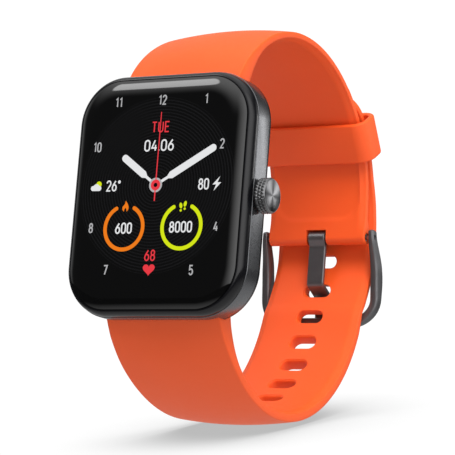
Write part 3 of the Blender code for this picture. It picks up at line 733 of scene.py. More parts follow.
def make_strap_upper():
    """Buckle half: lug, top of the loop, tray, and the end that wraps the buckle's bar."""
    rings = lug_sections(1, 55)
    end_angle = asin(BUCKLE_BAR_Z / (BACK_RADIUS + BUCKLE_BAR_OFFSET))
    end_length = length_at_angle(end_angle)
    length = length_at_angle(radians(UPPER_START))
    while length > end_length + 0.2:
        angle = angle_at_length(length)
        step = degrees(angle)
        end_share = 1 - blend(length - end_length, 0.0, STRAP_END_LENGTH)
        inner = smooth_between(step, END_INNER, 2.0)
        outer = inner + STRAP_EDGE + (2 * STRAP_END_RADIUS - STRAP_EDGE) * end_share
        crown = UPPER_CROWN * (1 - end_share) + 0.2 * blend(step, 40, UPPER_START)
        rings.append(strap_section(angle, inner, outer, half_width_at(step), 0, crown, 1 - end_share,
                                   tray_at(length)))
        length -= UPPER_STEP
    rings += knuckle_sections(end_angle, BUCKLE_BAR_OFFSET, STRAP_END_RADIUS,
                              BACK_RADIUS + BUCKLE_BAR_OFFSET, -1, BACK_HALF_WIDTH)
    strap = skin("buckle_strap", rings, "silicone")
    notch_x = TANG_HALF_X + TANG_NOTCH_GAP
    notch_top = BUCKLE_BAR_Z + TANG_NOTCH_TOP
    cut(strap, lug_tools(1, "upper") + [
        hole("bar_hole", "x", BUCKLE_BAR, -STRAP_REACH, STRAP_REACH, BAR_RADIUS + BUCKLE_BORE_GAP),
        box("notch", (-notch_x, TANG_NOTCH_NEAR_Y, -1), (notch_x, TANG_NOTCH_FAR_Y, notch_top)),
    ])
    show(strap, "case", "silicone", "strap_upper")


def slot_tool(angle, name):
    """Round-ended slot that flares at both faces, so that its rims come out rounded."""
    step = degrees(angle)
    inner = smooth_between(step, LAP_INNER, LAP_WINDOW)
    thickness = between(step, LOWER_THICKNESS) + SLOT_CROWN
    foot, normal, along = loop_frame(angle)
    depths = [(inner + depth, flare) for depth, flare in SLOT_FLARE]
    depths += [(inner + thickness - depth, flare) for depth, flare in reversed(SLOT_FLARE)]
    rings = []
    for depth, flare in depths:
        end_radius = SLOT_RADIUS + flare
        ring = []
        for side in (1, -1):
            for i in range(SLOT_END_POINTS):
                turn = side * QUARTER - QUARTER + (i / (SLOT_END_POINTS - 1) - 0.5) * pi
                x = side * (SLOT_HALF_X - SLOT_RADIUS) + end_radius * cos(turn)
                ring.append(foot + normal * depth + along * end_radius * sin(turn) + Vector((x, 0, 0)))
        rings.append(ring)
    return skin(name, rings, "silicone")


def make_strap_lower():
    """Half with the slots: lug, bottom of the loop, the lap inside the other half, round tip."""
    rings = lug_sections(-1, 61)
    length = length_at_angle(radians(LOWER_START))
    tip_start = length_at_angle(TIP_ANGLE - TIP_LENGTH / (LOOP_RADIUS + 2))
    tip_length = length_at_angle(TIP_ANGLE) - tip_start
    while length < tip_start + tip_length:
        angle = angle_at_length(length)
        step = degrees(angle)
        thickness = between(step, LOWER_THICKNESS)
        middle = smooth_between(step, LAP_INNER, LAP_WINDOW) + thickness / 2
        half_width = half_width_at(step)
        past = length - tip_start
        if past > 0:
            share = past / tip_length
            half_width *= (1 - share ** 2.6) ** (1 / 2.2) * (1 - TIP_BLUNTNESS) + TIP_BLUNTNESS
        remaining = tip_length - past
        if remaining < TIP_ROUNDING:
            thickness *= max(sqrt(1 - (1 - remaining / TIP_ROUNDING) ** 2), 0.12)
        rings.append(strap_section(angle, middle - thickness / 2, middle + thickness / 2, half_width,
                                   LOWER_HOLLOW * blend(step, 4, 18), LOWER_CROWN))
        length += TIP_STEP if remaining < TIP_FINE_LENGTH else LOWER_STEP
    strap = skin("hole_strap", rings, "silicone")
    tang_slot = (BACK_RADIUS + STRAP_EDGE) * TANG_SLOT_ANGLE
    slots = [slot_tool(angle_at_length(tang_slot + k * SLOT_PITCH, STRAP_EDGE), f"slot_{k}")
             for k in SLOT_NUMBERS]
    cut(strap, lug_tools(-1, "lower") + slots)
    show(strap, "case", "silicone", "strap_lower")


def make_keeper():
    """Loop of moulded silicone, swept round both straps with soft edges."""
    foot, normal, along = loop_frame(KEEPER_ANGLE)
    seat = foot + normal * (KEEPER_LOW + KEEPER_HIGH) / 2
    half_wall = KEEPER_WALL / 2
    path = rounded_rectangle(KEEPER_HALF_X - half_wall, (KEEPER_HIGH - KEEPER_LOW) / 2 - half_wall,
                             KEEPER_CORNER, 14)
    section = rounded_rectangle(KEEPER_HALF_WIDTH, half_wall, KEEPER_SOFT_EDGE, 5)
    rings = []
    for i, (x, depth) in enumerate(path):
        run = (Vector(path[(i + 1) % len(path)]) - Vector(path[i - 1])).normalized()
        out_x, out_depth = run.y, -run.x
        rings.append([seat + along * s + normal * (depth + out_depth * t) + Vector((x + out_x * t, 0, 0))
                      for s, t in section])
    keeper = skin("keeper_loop", rings, "silicone", closed=True)
    show(keeper, "keeper", "silicone", "keeper")


# ---- case

def inset_outline(inset):
    return CASE_HALF_X - inset, CASE_HALF_Z - inset, CASE_CORNER - inset


def make_case():
    """Side band and body, hollow, with a pocket for each strap and holes for pins and screws."""
    levels = [(BAND_FRONT + BAND_FILLET * (1 - cos(turn)), *inset_outline(BAND_FILLET * (1 - sin(turn))))
              for turn in quarter_turns(5)]
    levels += [
        (BAND_BACK - 0.05, *inset_outline(0)),
        (BAND_BACK + 0.08, *inset_outline(0.05)),
        (BAND_BACK + BAND_CHAMFER, *inset_outline(BAND_CHAMFER)),
        (CASE_BACK - 0.15, *inset_outline(CASE_BACK_INSET - 0.18)),
        (CASE_BACK, *inset_outline(CASE_BACK_INSET)),
        (CASE_BACK, *REAR_CAVITY),
        (CAVITY_STEP, *REAR_CAVITY),
        (CAVITY_STEP, *FRONT_CAVITY),
        (BAND_FRONT, *FRONT_CAVITY),
    ]
    case = stack("case_shell", levels, "satin_metal", closed=True)
    tools = []
    for sign, side in ((1, "upper"), (-1, "lower")):
        low_z, high_z = sorted((sign * POCKET_FLOOR_Z, sign * 25))
        tools.append(box(side + "_pocket", (-POCKET_HALF_X, POCKET_FRONT_Y, low_z),
                         (POCKET_HALF_X, 0, high_z)))
        tools.append(hole(side + "_pins", "x", (0, BAR_Y, sign * BAR_Z), -PIN_REACH, PIN_REACH,
                          PIN_RADIUS + 0.1, 20))
    tools.append(hole("crown_hole", "x", CROWN_AXIS, 14, 19, CROWN_HOLE_RADIUS))
    for i, (x, z) in enumerate(SCREW_PLACES):
        tools.append(hole(f"screw_{i}", "y", (x, 0, z), -5.2, 0, SCREW_HOLE_RADIUS, 16))
    cut(case, tools)
    show(case, "case", "satin_metal", "case_frame")


def make_bezel():
    """Gloss ring that rounds off from the band to the glass."""
    outer, inner = BEZEL_INSETS
    levels = [(BEZEL_BACK + (BEZEL_TOP - BEZEL_BACK) * sin(turn),
               *inset_outline(outer + (inner - outer) * (1 - cos(turn)))) for turn in quarter_turns(14)]
    seat = inset_outline(GLASS_INSET - GLASS_GAP)
    levels += [(BEZEL_TOP + 0.06, *seat), (BEZEL_LEDGE, *seat), (BEZEL_LEDGE, *BEZEL_OPENING),
               (BEZEL_BACK, *BEZEL_OPENING)]
    show(stack("bezel", levels, "black_gloss", closed=True), "case", "black_gloss", "bezel_ring")


def make_glass():
    """Cover glass whose edge rolls down to the bezel."""
    levels = [(GLASS_BACK, *inset_outline(GLASS_INSET))]
    for step in range(21):
        share = step / 20
        level = GLASS_TOP + (GLASS_EDGE - GLASS_TOP) * (1 - share) ** GLASS_ROLL_POWER
        levels.append((level, *inset_outline(GLASS_INSET + GLASS_EDGE_WIDTH * share)))
    show(stack("curved_glass", levels, "cover_glass"), "case", "cover_glass", "cover_glass")


def make_back():
    """Back cover with softened edges, the optical sensor's window and its apertures."""
    rim_depth, rim_width = COVER_RIM
    levels = [(COVER_FRONT, *COVER_OUTLINE)]
    for turn in quarter_turns(6):
        shrink = rim_width * (1 - cos(turn))
        levels.append((COVER_EDGE + rim_depth * sin(turn), *(size - shrink for size in COVER_OUTLINE)))
    cover = stack("rear_shell", levels, "black_plastic", segments=10)
    through = (-3, 1)
    tools = [hole("window_hole", "y", (0, 0, 0), *through, WINDOW_RADIUS + 0.1, 72)]
    for x in (-CHARGING_PIN_X, CHARGING_PIN_X):
        tools.append(hole("pin_hole", "y", (x, 0, CHARGING_PIN_Z), *through, 0.9))
    for x, z in SCREW_PLACES:
        tools.append(hole("screw_way", "y", (x, 0, z), *through, SCREW_HOLE_RADIUS + 0.05, 24))
        tools.append(hole("screw_seat", "y", (x, 0, z), -1.1, 1, 1.15))
    cut(cover, tools)
    show(cover, "case", "black_plastic", "back_cover")

    dome = [(-1.35, WINDOW_RADIUS), (-0.45, WINDOW_RADIUS), (-0.3, 6.9), (-0.14, 6.72), (-0.04, 6.4),
            (0.0, 6.0)]
    window = turned("sensor_dome", dome, "y", (0, 0, 0), "black_gloss", 96)
    show(window, "case", "black_gloss", "sensor_window")
    lens_profile = [(-0.02, 1.25), (0.012, 1.25), (0.02, 1.15)]
    for i, (x, z) in enumerate([(0, 1), (0, -1), (1, 0), (-1, 0)]):
        place = (x * APERTURE_DISTANCE, 0, z * APERTURE_DISTANCE)
        lens = turned(f"sensor_aperture_{i + 1}", lens_profile, "y", place, "sensor_lens", 40)
        show(lens, "case", "black_gloss")
    for i, x in enumerate((-LED_X, LED_X)):
        led = turned(f"sensor_led_{i + 1}", [(-0.02, 0.42), (0.015, 0.42)], "y", (x, 0, 0), "green_led", 24)
        show(led, "case", "black_gloss")


# ---- crown

def make_crown():
    """Knob with a rim of staggered blocks and a lathe-turned face."""
    around = KNURL_TEETH * KNURL_TOOTH_STEPS
    rows = KNURL_ROWS * KNURL_ROW_STEPS
    rim_in, rim_out = CROWN_IN + KNURL_MARGIN, CROWN_OUT - KNURL_MARGIN

    def ring(along, radii):
        return [Vector(CROWN_AXIS) + Vector((along, radius * sin(angle), radius * cos(angle)))
                for angle, radius in zip(full_turn(around), radii)]

    def plain_ring(along, radius):
        return ring(along, [radius] * around)

    def block_height(row, i):
        shift = 0.5 if row // KNURL_ROW_STEPS % 2 else 0.0
        wave = sin(pi * (i / KNURL_TOOTH_STEPS + shift)) * sin(pi * row / KNURL_ROW_STEPS)
        return abs(wave) ** KNURL_ROUNDNESS

    rings = [plain_ring(CROWN_IN, 2.3), plain_ring(CROWN_IN, 2.72), plain_ring(CROWN_IN + 0.06, 2.84)]
    for row in range(rows + 1):
        radii = [CROWN_RADIUS - KNURL_DEPTH * (1 - block_height(row, i)) for i in range(around)]
        rings.append(ring(rim_in + (rim_out - rim_in) * row / rows, radii))
    rings += [plain_ring(CROWN_OUT - 0.08, 2.86), plain_ring(CROWN_OUT - 0.02, 2.80)]
    knob = skin("crown_rim", rings, "knurl_metal")
    cut(knob, [hole("knob_bore", "x", CROWN_AXIS, 17, 19.5, CROWN_BORE_RADIUS)], sharp_degrees=40)
    show(knob, "crown", "dark_metal", "crown_knob")
    profile = [(CROWN_OUT - 0.05, 2.76), (CROWN_OUT - 0.02, 2.74), (CROWN_OUT, 2.68), (CROWN_OUT, 1.2),
               (CROWN_OUT, 0.05)]
    show(turned("crown_face", profile, "x", CROWN_AXIS, "spun_metal", 96), "crown", "dark_metal")


# ---- buckle

def make_buckle_frame():
    """U-shaped frame, bowed away from the wrist and waisted at its two ends."""
    depth_line = [(z, FAR_BAR_Y + bow) for z, bow in BUCKLE_BOW] + [(BUCKLE_BAR_Z, BUCKLE_BAR_Y)]
    widths = [(-3.0, BUCKLE_ARM_HALF_WIDTH), (BUCKLE_TOP_Z, BUCKLE_TOP_HALF_WIDTH)]
    depths = [(-9.0, FAR_BAR_HALF_DEPTH), (-6.0, BUCKLE_ARM_HALF_DEPTH), (-1.0, BUCKLE_ARM_HALF_DEPTH),
              (BUCKLE_TOP_Z, FAR_BAR_HALF_DEPTH)]
    straight_end = FAR_BAR_Z + BUCKLE_CORNER
    arm_x = BUCKLE_ARM_INNER_X + BUCKLE_ARM_HALF_WIDTH
    path = []
    for i in range(24):
        z = BUCKLE_TOP_Z + (straight_end - BUCKLE_TOP_Z) * i / 24
        path.append((BUCKLE_ARM_INNER_X + smooth_between(z, widths, 1.0), z, 0.0))
    path += [(arm_x - BUCKLE_CORNER * (1 - cos(turn)), straight_end - BUCKLE_CORNER * sin(turn), turn)
             for turn in quarter_turns(16)]
    path += [(-x, z, pi - turn) for x, z, turn in reversed(path)]

    def swell(share):
        return copysign(abs(share) ** BUCKLE_ROUNDNESS, share)

    def ring(x, z, turn, size=1.0):
        half_width = size * smooth_between(z, widths, 1.0)
        half_depth = size * smooth_between(z, depths, 1.0)
        depth = smooth_between(z, depth_line, 1.3)
        points = []
        for angle in full_turn(32):
            across = half_width * swell(cos(angle))
            points.append((x + across * cos(turn), depth + half_depth * swell(sin(angle)),
                           z - across * sin(turn)))
        return points

    def end_rings(x, z, turn):
        """Dome over the end of an arm."""
        rises = [i / 6.4 * QUARTER for i in range(1, 7)]
        return [ring(x, z + BUCKLE_DOME * sin(rise), turn, cos(rise)) for rise in rises]

    rings = end_rings(*path[0])[::-1] + [ring(*place) for place in path] + end_rings(*path[-1])
    buckle = skin("buckle_loop", rings, "dark_metal", sharp_degrees=50)
    cut(buckle, [hole("pin_holes", "x", BUCKLE_BAR, -12.5, 12.5, PIN_RADIUS + BUCKLE_BORE_GAP, 20)],
        sharp_degrees=50)
    show(buckle, "buckle_frame", "dark_metal", "buckle_frame")


def rounded_line(points, corner, steps=7):
    """Line whose inner corners are replaced by short curves."""
    points = [Vector(point) for point in points]
    line = [points[0]]
    for before, here, after in zip(points, points[1:], points[2:]):
        entry = here + (before - here).normalized() * corner
        leave = here + (after - here).normalized() * corner
        line += [entry * (1 - t) ** 2 + here * 2 * t * (1 - t) + leave * t ** 2
                 for t in (i / steps for i in range(steps + 1))]
    return line + [points[-1]]


def make_tang():
    """Tang: rolled round the bar, flat plate, bent through the slot on to the far bar."""
    plate_y = BUCKLE_BAR_Y - TANG_STEP
    line = rounded_line([(BUCKLE_BAR_Y - 0.8, BUCKLE_BAR_Z - 0.5), (plate_y, BUCKLE_BAR_Z - 1.6),
                         (plate_y, -5.9), (FAR_BAR_Y + 1.4, -7.8),
                         (FAR_BAR_Y + FAR_BAR_HALF_DEPTH + 0.75, FAR_BAR_Z - 0.6)], TANG_BEND)
    half_t = TANG_THICKNESS / 2
    rings = []
    for i, here in enumerate(line):
        run = (line[min(i + 1, len(line) - 1)] - line[max(i - 1, 0)]).normalized()
        side = Vector((-run.y, run.x))
        half_x = TANG_HALF_X if i < len(line) - 1 else 0.8 * TANG_HALF_X
        flat_x, flat_t = half_x - TANG_BEVEL, half_t - TANG_BEVEL
        outline = [(flat_x, half_t), (half_x, flat_t), (half_x, -flat_t), (flat_x, -half_t)]
        outline += [(-x, t) for x, t in reversed(outline)]
        rings.append([(x, *(here + side * t)) for x, t in outline])
    tang = skin("tang", rings, "dark_metal")
    edge = TANG_CURL_BEVEL
    curl_profile = [(-TANG_HALF_X, TANG_CURL_RADIUS - edge), (edge - TANG_HALF_X, TANG_CURL_RADIUS),
                    (TANG_HALF_X - edge, TANG_CURL_RADIUS), (TANG_HALF_X, TANG_CURL_RADIUS - edge)]
    cut(tang, [turned("curl", curl_profile, "x", BUCKLE_BAR, "dark_metal")], "UNION")
    cut(tang, [hole("tang_bore", "x", BUCKLE_BAR, -3, 3, BAR_RADIUS + BUCKLE_BORE_GAP)], sharp_degrees=30)
    show(tang, "buckle_tang", "dark_metal", "buckle_tang")


# ---- dial

def dial_shape(name, outlines, material, layer=0):
    """Thin lit shapes lying on the glass; each outline is a list of (x, z) points."""
    bm = bmesh.new()
    front = DIAL_Y - (layer + 1) * DIAL_LAYER
    back = DIAL_Y - layer * DIAL_LAYER
    for outline in outlines:
        loops = [[bm.verts.new(Vector((x, y, z)) * MM) for x, z in outline] for y in (front, back)]
        add_wall(bm, *loops)
        bm.faces.new(loops[0])
        bm.faces.new(loops[1])
    show(add_mesh(name, bm, material, 30), "case", "screen")


def disc(x, z, radius, points=40):
    return [(x + radius * cos(angle), z + radius * sin(angle)) for angle in full_turn(points)]


def arc(x, z, rx, rz, start, end, points=12):
    """Part of an ellipse, by angles in degrees."""
    angles = [radians(start + (end - start) * i / points) for i in range(points + 1)]
    return [(x + rx * cos(angle), z + rz * sin(angle)) for angle in angles]


def bowl(z, rz, start, end, points=12):
    """Arc as wide as a glyph."""
    return arc(0.25, z, 0.25, rz, start, end, points)


def moved(outline, x, z):
    return [(px + x, pz + z) for px, pz in outline]


def strokes(line, width):
    """Flat strip along a line, as quads with a join at each corner; it closes where the line does."""
    points = [Vector(point) for point in line]
    is_closed = (points[-1] - points[0]).length < 1e-6
    if is_closed:
        points.pop()
    count = len(points)
    edges = []
    for i, here in enumerate(points):
        before = points[i - 1] if i > 0 or is_closed else None
        after = points[(i + 1) % count] if i < count - 1 or is_closed else None
        entry = (here - before).normalized() if before else (after - here).normalized()
        leave = (after - here).normalized() if after else entry
        bisector = (entry + leave).normalized()
        side = Vector((-bisector.y, bisector.x)) * (width / 2 / max(bisector.dot(entry), 0.6))
        edges.append((tuple(here + side), tuple(here - side)))
    followers = edges[1:] + edges[:1] if is_closed else edges[1:]
    return [[left, next_left, next_right, right]
            for (left, right), (next_left, next_right) in zip(edges, followers)]


# Each glyph is a list of lines in a box 0.5 wide and 1 high
GLYPHS = {
    "0": [bowl(0.73, 0.27, 0, 180) + bowl(0.27, 0.27, 180, 360) + [(0.5, 0.73)]],
    "1": [[(0.06, 0.80), (0.28, 1.0), (0.28, 0.0)]],
    "2": [bowl(0.74, 0.26, 172, -28) + [(0.02, 0.0), (0.5, 0.0)]],
    "4": [[(0.30, 1.0), (0.0, 0.26), (0.52, 0.26)], [(0.38, 0.55), (0.38, 0.0)]],
    "5": [[(0.47, 1.0), (0.06, 1.0), (0.04, 0.54)] + bowl(0.31, 0.31, 118, -160)],
    "6": [bowl(0.30, 0.30, 0, 360, 24), [(0.40, 1.0), (0.12, 0.62), (0.01, 0.36)]],
    "7": [[(0.0, 1.0), (0.5, 1.0), (0.17, 0.0)]],
    "8": [arc(0.25, 0.76, 0.21, 0.24, 0, 360, 20), bowl(0.27, 0.27, 0, 360, 20)],
    "T": [[(0.0, 1.0), (0.5, 1.0)], [(0.25, 1.0), (0.25, 0.0)]],
    "U": [[(0.0, 1.0)] + bowl(0.26, 0.26, 180, 360) + [(0.5, 1.0)]],
    "E": [[(0.45, 1.0), (0.02, 1.0), (0.02, 0.0), (0.45, 0.0)], [(0.02, 0.52), (0.40, 0.52)]],
    ".": [[(0.0, 0.0), (0.0, 0.10)]],
    "°": [arc(0.12, 0.88, 0.10, 0.10, 0, 360, 16)],
}
GLYPH_ADVANCES = {".": 0.28, "°": 0.4, "1": 0.62}
GLYPH_SPACING = 0.26
GLYPH_ADVANCE = 0.5 + GLYPH_SPACING

# Place of each hour figure; three, six and nine make room for the readings
HOURS = {"12": (0.0, 16.3), "11": (-8.95, 16.25), "1": (8.85, 16.1), "10": (-12.65, 8.35),
         "2": (12.65, 8.1), "8": (-12.55, -6.05), "4": (12.65, -6.25), "7": (-8.8, -13.5),
         "5": (8.45, -13.7)}
# Name, text, x, z, height, material, stroke and width share
READINGS = [
    ("weekday", "TUE", 0.1, 11.5, 1.98, "dial_red", 0.13, 0.98),
    ("date", "04.06", 0.05, 8.25, 2.1, "dial_white", 0.15, 1.02),
    ("temperature", "26°", -8.7, 1.35, 2.0, "dial_white", 0.15, 0.88),
    ("charge", "80", 9.6, 1.15, 2.0, "dial_white", 0.15, 0.86),
    ("energy", "600", -5.8, -6.2, 2.0, "dial_white", 0.16, 0.90),
    ("steps", "8000", 5.7, -6.2, 2.0, "dial_white", 0.16, 0.90),
    ("pulse", "68", 0.0, -11.05, 2.0, "dial_red", 0.14, 0.88),
]


def write(name, text, x, z, height, material, stroke, stretch):
    """Figures centred on a point, in condensed strokes."""
    scale = height / (1 + stroke)
    cell = scale * stretch
    advances = [GLYPH_ADVANCES.get(letter, GLYPH_ADVANCE) * cell for letter in text]
    pen = x - (sum(advances) - GLYPH_SPACING * cell) / 2
    outlines = []
    for letter, advance in zip(text, advances):
        for line in GLYPHS[letter]:
            placed = [(pen + px * cell, z + (pz - 0.5) * scale) for px, pz in line]
            outlines += strokes(placed, stroke * scale)
        pen += advance
    dial_shape(name, outlines, material)


def hand_outline(angle, length, neck):
    """Baton hand with a thin neck and a round tip, pointing at a clockwise angle from twelve."""
    half, thin = 0.65, 0.25
    outline = [(-thin, 0.4), (-thin, neck - 0.5), (-half, neck + 0.2)]
    outline += arc(0, length - half, half, half, 180, 0, 14)
    outline += [(half, neck + 0.2), (thin, neck - 0.5), (thin, 0.4)]
    turn = radians(angle)
    return [(x * cos(turn) + z * sin(turn), DIAL_CENTRE_Z + z * cos(turn) - x * sin(turn))
            for x, z in outline]


def make_hands():
    hands = [hand_outline(-53.4, 8.9, 3.0), hand_outline(60.6, 13.2, 3.2)]
    dial_shape("hour_and_minute_hands", hands, "dial_white", 1)
    second = moved([(-0.12, -2.8), (0.12, -2.8), (0.08, 12.9), (-0.08, 12.9)], 0, DIAL_CENTRE_Z)
    dial_shape("second_hand", [second], "dial_red", 3)
    hub = (("hub_rim", 1.3, "dial_grey", 2), ("hub_ring", 0.95, "dial_red", 4),
           ("hub_centre", 0.38, "dial_black", 5))
    for name, radius, material, layer in hub:
        dial_shape(name, [disc(0, DIAL_CENTRE_Z, radius)], material, layer)


def make_gauges():
    """Two open rings with round ends, a flame over one and footprints over the other."""
    for side, material in (("left", "dial_orange"), ("right", "dial_lime")):
        ring = arc(GAUGE_X[side], GAUGE_Z, GAUGE_RADIUS, GAUGE_RADIUS, *GAUGE_ANGLES, 64)
        ends = [disc(x, z, GAUGE_WIDTH / 2, 20) for x, z in (ring[0], ring[-1])]
        dial_shape(f"gauge_{side}", strokes(ring, GAUGE_WIDTH) + ends, material)
    flame = [(-0.05, 1.15), (0.42, 0.55), (0.62, 0.05), (0.60, -0.40), (0.30, -0.80), (0.18, -0.30),
             (0.0, -0.10), (-0.20, -0.35), (-0.30, -0.80), (-0.62, -0.40), (-0.62, 0.05), (-0.35, 0.35),
             (-0.15, 0.60)]
    dial_shape("flame_icon", [moved(flame, GAUGE_X["left"], -2.5)], "dial_orange")
    feet = []
    for side in (-1, 1):
        sole = [(0.30 * cos(a) + 0.07 * side * sin(a), 0.50 * sin(a)) for a in full_turn(24)]
        heel = disc(-0.04 * side, -0.84, 0.22, 18)
        foot_x = GAUGE_X["right"] + side * 0.42
        feet += [moved(outline, foot_x, 0.14 * side - 2.35) for outline in (sole, heel)]
    dial_shape("feet_icon", feet, "dial_lime")


def make_icons():
    cloud = [disc(-12.15, 1.15, 0.62, 28), disc(-12.80, 1.0, 0.46, 24), disc(-11.55, 0.98, 0.46, 24),
             [(-12.80, 0.54), (-11.55, 0.52), (-11.55, 1.15), (-12.80, 1.15)]]
    dial_shape("cloud_icon", cloud, "dial_white", 1)
    dial_shape("sun_icon", [disc(-11.65, 1.68, 0.55, 28)], "dial_lime")
    bolt = [(0.55, 1.25), (-0.85, -0.15), (-0.10, -0.15), (-0.55, -1.25), (0.85, 0.20), (0.10, 0.20)]
    dial_shape("bolt_icon", [moved(bolt, 12.2, 1.15)], "dial_white")
    heart = []
    for t in full_turn(48):
        tall = 13 * cos(t) - 5 * cos(2 * t) - 2 * cos(3 * t) - cos(4 * t)
        heart.append((1.2 * sin(t) ** 3, 1.12 * tall / 16))
    dial_shape("heart_icon", [moved(heart, 0, -13.45)], "dial_red")


def make_dial():
    for text, (x, z) in HOURS.items():
        write(f"hour_{text}", text, x, z, 1.8, "dial_grey", 0.16, 0.84)
    for reading in READINGS:
        write(*reading)
    make_gauges()
    make_icons()
    make_hands()


# ---- carried-over CAD nodes

# Every node that is not named here is steel
CAD_LOOKS = {
    "screen": ["display_panel"],
    "dark_rubber": ["display_adhesive", "back_gasket", "crown_o_ring"],
    "polyimide": ["display_flex", "gps_antenna"],
    "black_plastic": ["inner_bracket", "tact_switch"],
    "board": ["main_board", "sensor_board"],
    "foil": ["battery"],
    "gold": ["charging_pin_left", "charging_pin_right"],
    "dark_metal": ["back_screw_1", "back_screw_2", "back_screw_3", "back_screw_4"],
}


def dress_cad_nodes():
    looks = {name: material for material, names in CAD_LOOKS.items() for name in names}
    for name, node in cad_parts.items():
        node.data.materials.clear()
        node.data.materials.append(MATERIALS[looks.get(name, "steel")])
        for polygon in node.data.polygons:
            polygon.material_index = 0


# ---- stage

# The camera looks up a little at the target, because the watch leans back
CAMERA_TARGET = Vector((0, 0.01471, -0.00134))
CAMERA_DISTANCE = 0.42631
CAMERA_AZIMUTH = radians(120.494)
CAMERA_ELEVATION = radians(9.930)
CAMERA_ROLL = radians(4.458)
CAMERA_FOCAL_WIDTHS = 5.1778

BACKDROP_LEVEL = 1.05
FLOOR_TILT = radians(14.0)
FLOOR_NORMAL = Vector((0, -sin(FLOOR_TILT), cos(FLOOR_TILT)))
FLOOR_HALF_SIZE = 3.0
FLOOR_GAP = 0.0002
FLOOR_SHADOW = 0.5
FLOOR_SHADOW_REACH = 0.07
FLOOR_BOUNCE = 0.9
# Reflections of the floor: distance from the middle of the watch's back, and brightness there
FLOOR_MIRRORED_NEAR = (0.04, 0.6)
FLOOR_MIRRORED_FAR = (0.13, 0.03)

# Soft panels of the studio: direction, full and faded half angle in degrees, strength
STUDIO_BASE = 0.045
STUDIO_PANELS = [
    ((0.0, -0.25, 0.97), 12, 64, 1.1),
    ((0.50, 0.85, 0.20), 3, 24, 0.75),
    ((0.85, -0.50, 0.05), 6, 64, 1.75),
    ((-0.50, -0.54, 0.67), 8.0, 10.5, 3.4),
    ((-0.80, 0.58, 0.15), 15, 52, 0.9),
]


def make_camera():
    camera = bpy.data.cameras.new("camera")
    camera.sensor_width = 36
    camera.lens = CAMERA_FOCAL_WIDTHS * camera.sensor_width
    camera.clip_start = 0.01
    camera.clip_end = 20
    level = cos(CAMERA_ELEVATION)
    forward = Vector((level * cos(CAMERA_AZIMUTH), level * sin(CAMERA_AZIMUTH), sin(CAMERA_ELEVATION)))
    level_right = forward.cross(Vector((0, 0, 1))).normalized()
    right = Matrix.Rotation(-CAMERA_ROLL, 3, forward) @ level_right
    axes = Matrix((right, right.cross(forward), -forward)).transposed().to_4x4()
    axes.translation = CAMERA_TARGET - forward * CAMERA_DISTANCE
    item = add_object("camera", camera)
    item.matrix_world = axes
    bpy.context.scene.camera = item


def floor_material():
    """Glows by what meets it: white with a contact shadow painted in from ambient occlusion for the camera,
    fading in reflections, even elsewhere.
    """
    shader = Shader("floor")
    # Painted shadow: the glow seen by the camera darkens where ambient occlusion finds the watch close by
    cover = shader.add("AmbientOcclusion", {"Distance": FLOOR_SHADOW_REACH}, samples=32)
    painted_shadow_glow = shader.spread(cover.outputs["AO"], FLOOR_SHADOW, BACKDROP_LEVEL, 0.2, 1.0, "SMOOTHSTEP")
    distance = shader.add("VectorMath", {0: shader.position()}, operation="LENGTH").outputs["Value"]
    (near, near_level), (far, far_level) = FLOOR_MIRRORED_NEAR, FLOOR_MIRRORED_FAR
    mirrored = shader.spread(distance, near_level, far_level, near, far, "SMOOTHSTEP")
    ray = shader.add("LightPath", {}).outputs
    unseen = shader.choose(ray["Is Glossy Ray"], FLOOR_BOUNCE, mirrored)
    glow = shader.add("Emission", {"Strength": shader.choose(ray["Is Camera Ray"], unseen, painted_shadow_glow)})
    shader.feed(shader.nodes["Material Output"].inputs["Surface"], glow.outputs["Emission"])


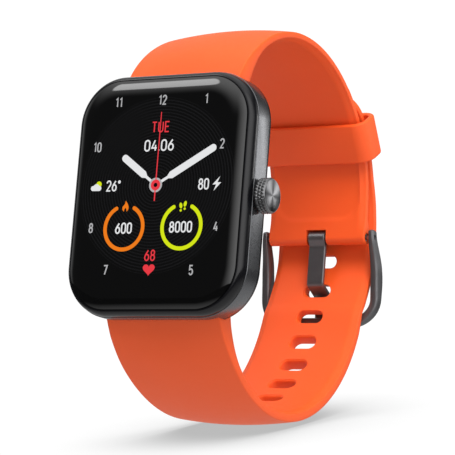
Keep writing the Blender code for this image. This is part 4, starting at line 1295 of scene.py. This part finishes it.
def make_floor():
    """Pale floor under the strap, tilted because the watch leans back."""
    lowest = min(FLOOR_NORMAL.dot(vertex.co) for name in ("hole_strap", "buckle_loop")
                 for vertex in bpy.data.objects[name].data.vertices)
    centre = FLOOR_NORMAL * (lowest - FLOOR_GAP)
    side = Vector((1, 0, 0)) * FLOOR_HALF_SIZE
    deep = FLOOR_NORMAL.cross(side)
    mesh = bpy.data.meshes.new("floor")
    corners = [centre + side * a + deep * b for a, b in ((-1, -1), (1, -1), (1, 1), (-1, 1))]
    mesh.from_pydata([tuple(corner) for corner in corners], [], [(0, 1, 2, 3)])
    floor_material()
    mesh.materials.append(MATERIALS["floor"])
    add_object("floor", mesh)


def make_world():
    """White backdrop for the camera; a studio of soft panels lights and mirrors in the watch."""
    world = bpy.data.worlds.new("studio")
    bpy.context.scene.world = world
    studio = Nodes(world)
    direction = studio.add("TexCoord", {}).outputs["Generated"]

    def panel(middle, inner, outer, strength):
        """Full inside one angle from its middle, nothing outside the other."""
        inputs = {0: direction, 1: Vector(middle).normalized()}
        aim = studio.add("VectorMath", inputs, operation="DOT_PRODUCT").outputs["Value"]
        return studio.spread(aim, 0.0, strength, cos(radians(outer)), cos(radians(inner)), "SMOOTHSTEP")

    level = panel(*STUDIO_PANELS[0])
    for settings in STUDIO_PANELS[1:]:
        level = studio.math("ADD", level, panel(*settings))
    level = studio.math("ADD", level, STUDIO_BASE)
    is_camera = studio.add("LightPath", {}).outputs["Is Camera Ray"]
    background = studio.nodes["Background"].inputs
    studio.feed(background["Strength"], studio.choose(is_camera, level, BACKDROP_LEVEL))
    studio.feed(background["Color"], (1, 1, 1, 1))


def make_light(name, place, target, size, power, mirrored):
    """Square area light that the camera does not see; reflections see it when it is mirrored."""
    light = bpy.data.lights.new(name, "AREA")
    light.size = size
    light.energy = power
    item = add_object(name, light)
    item.location = place
    item.rotation_euler = (Vector(target) - Vector(place)).to_track_quat("-Z", "Y").to_euler()
    item.visible_camera = False
    item.visible_glossy = mirrored


dress_cad_nodes()
make_strap_upper()
make_strap_lower()
make_keeper()
make_case()
make_bezel()
make_glass()
make_crown()
make_buckle_frame()
make_tang()
make_dial()
make_back()
make_camera()
make_floor()
make_world()
make_light("top_softbox", (0.20, -0.22, 0.36), (0, 0.02, 0), 0.25, 2.2, mirrored=False)
make_light("band_card", (0.068, 0.079, 0.030), (0.018, -0.006, 0.010), 0.03, 0.007, mirrored=True)
bpy.context.scene.view_settings.view_transform = "Standard"
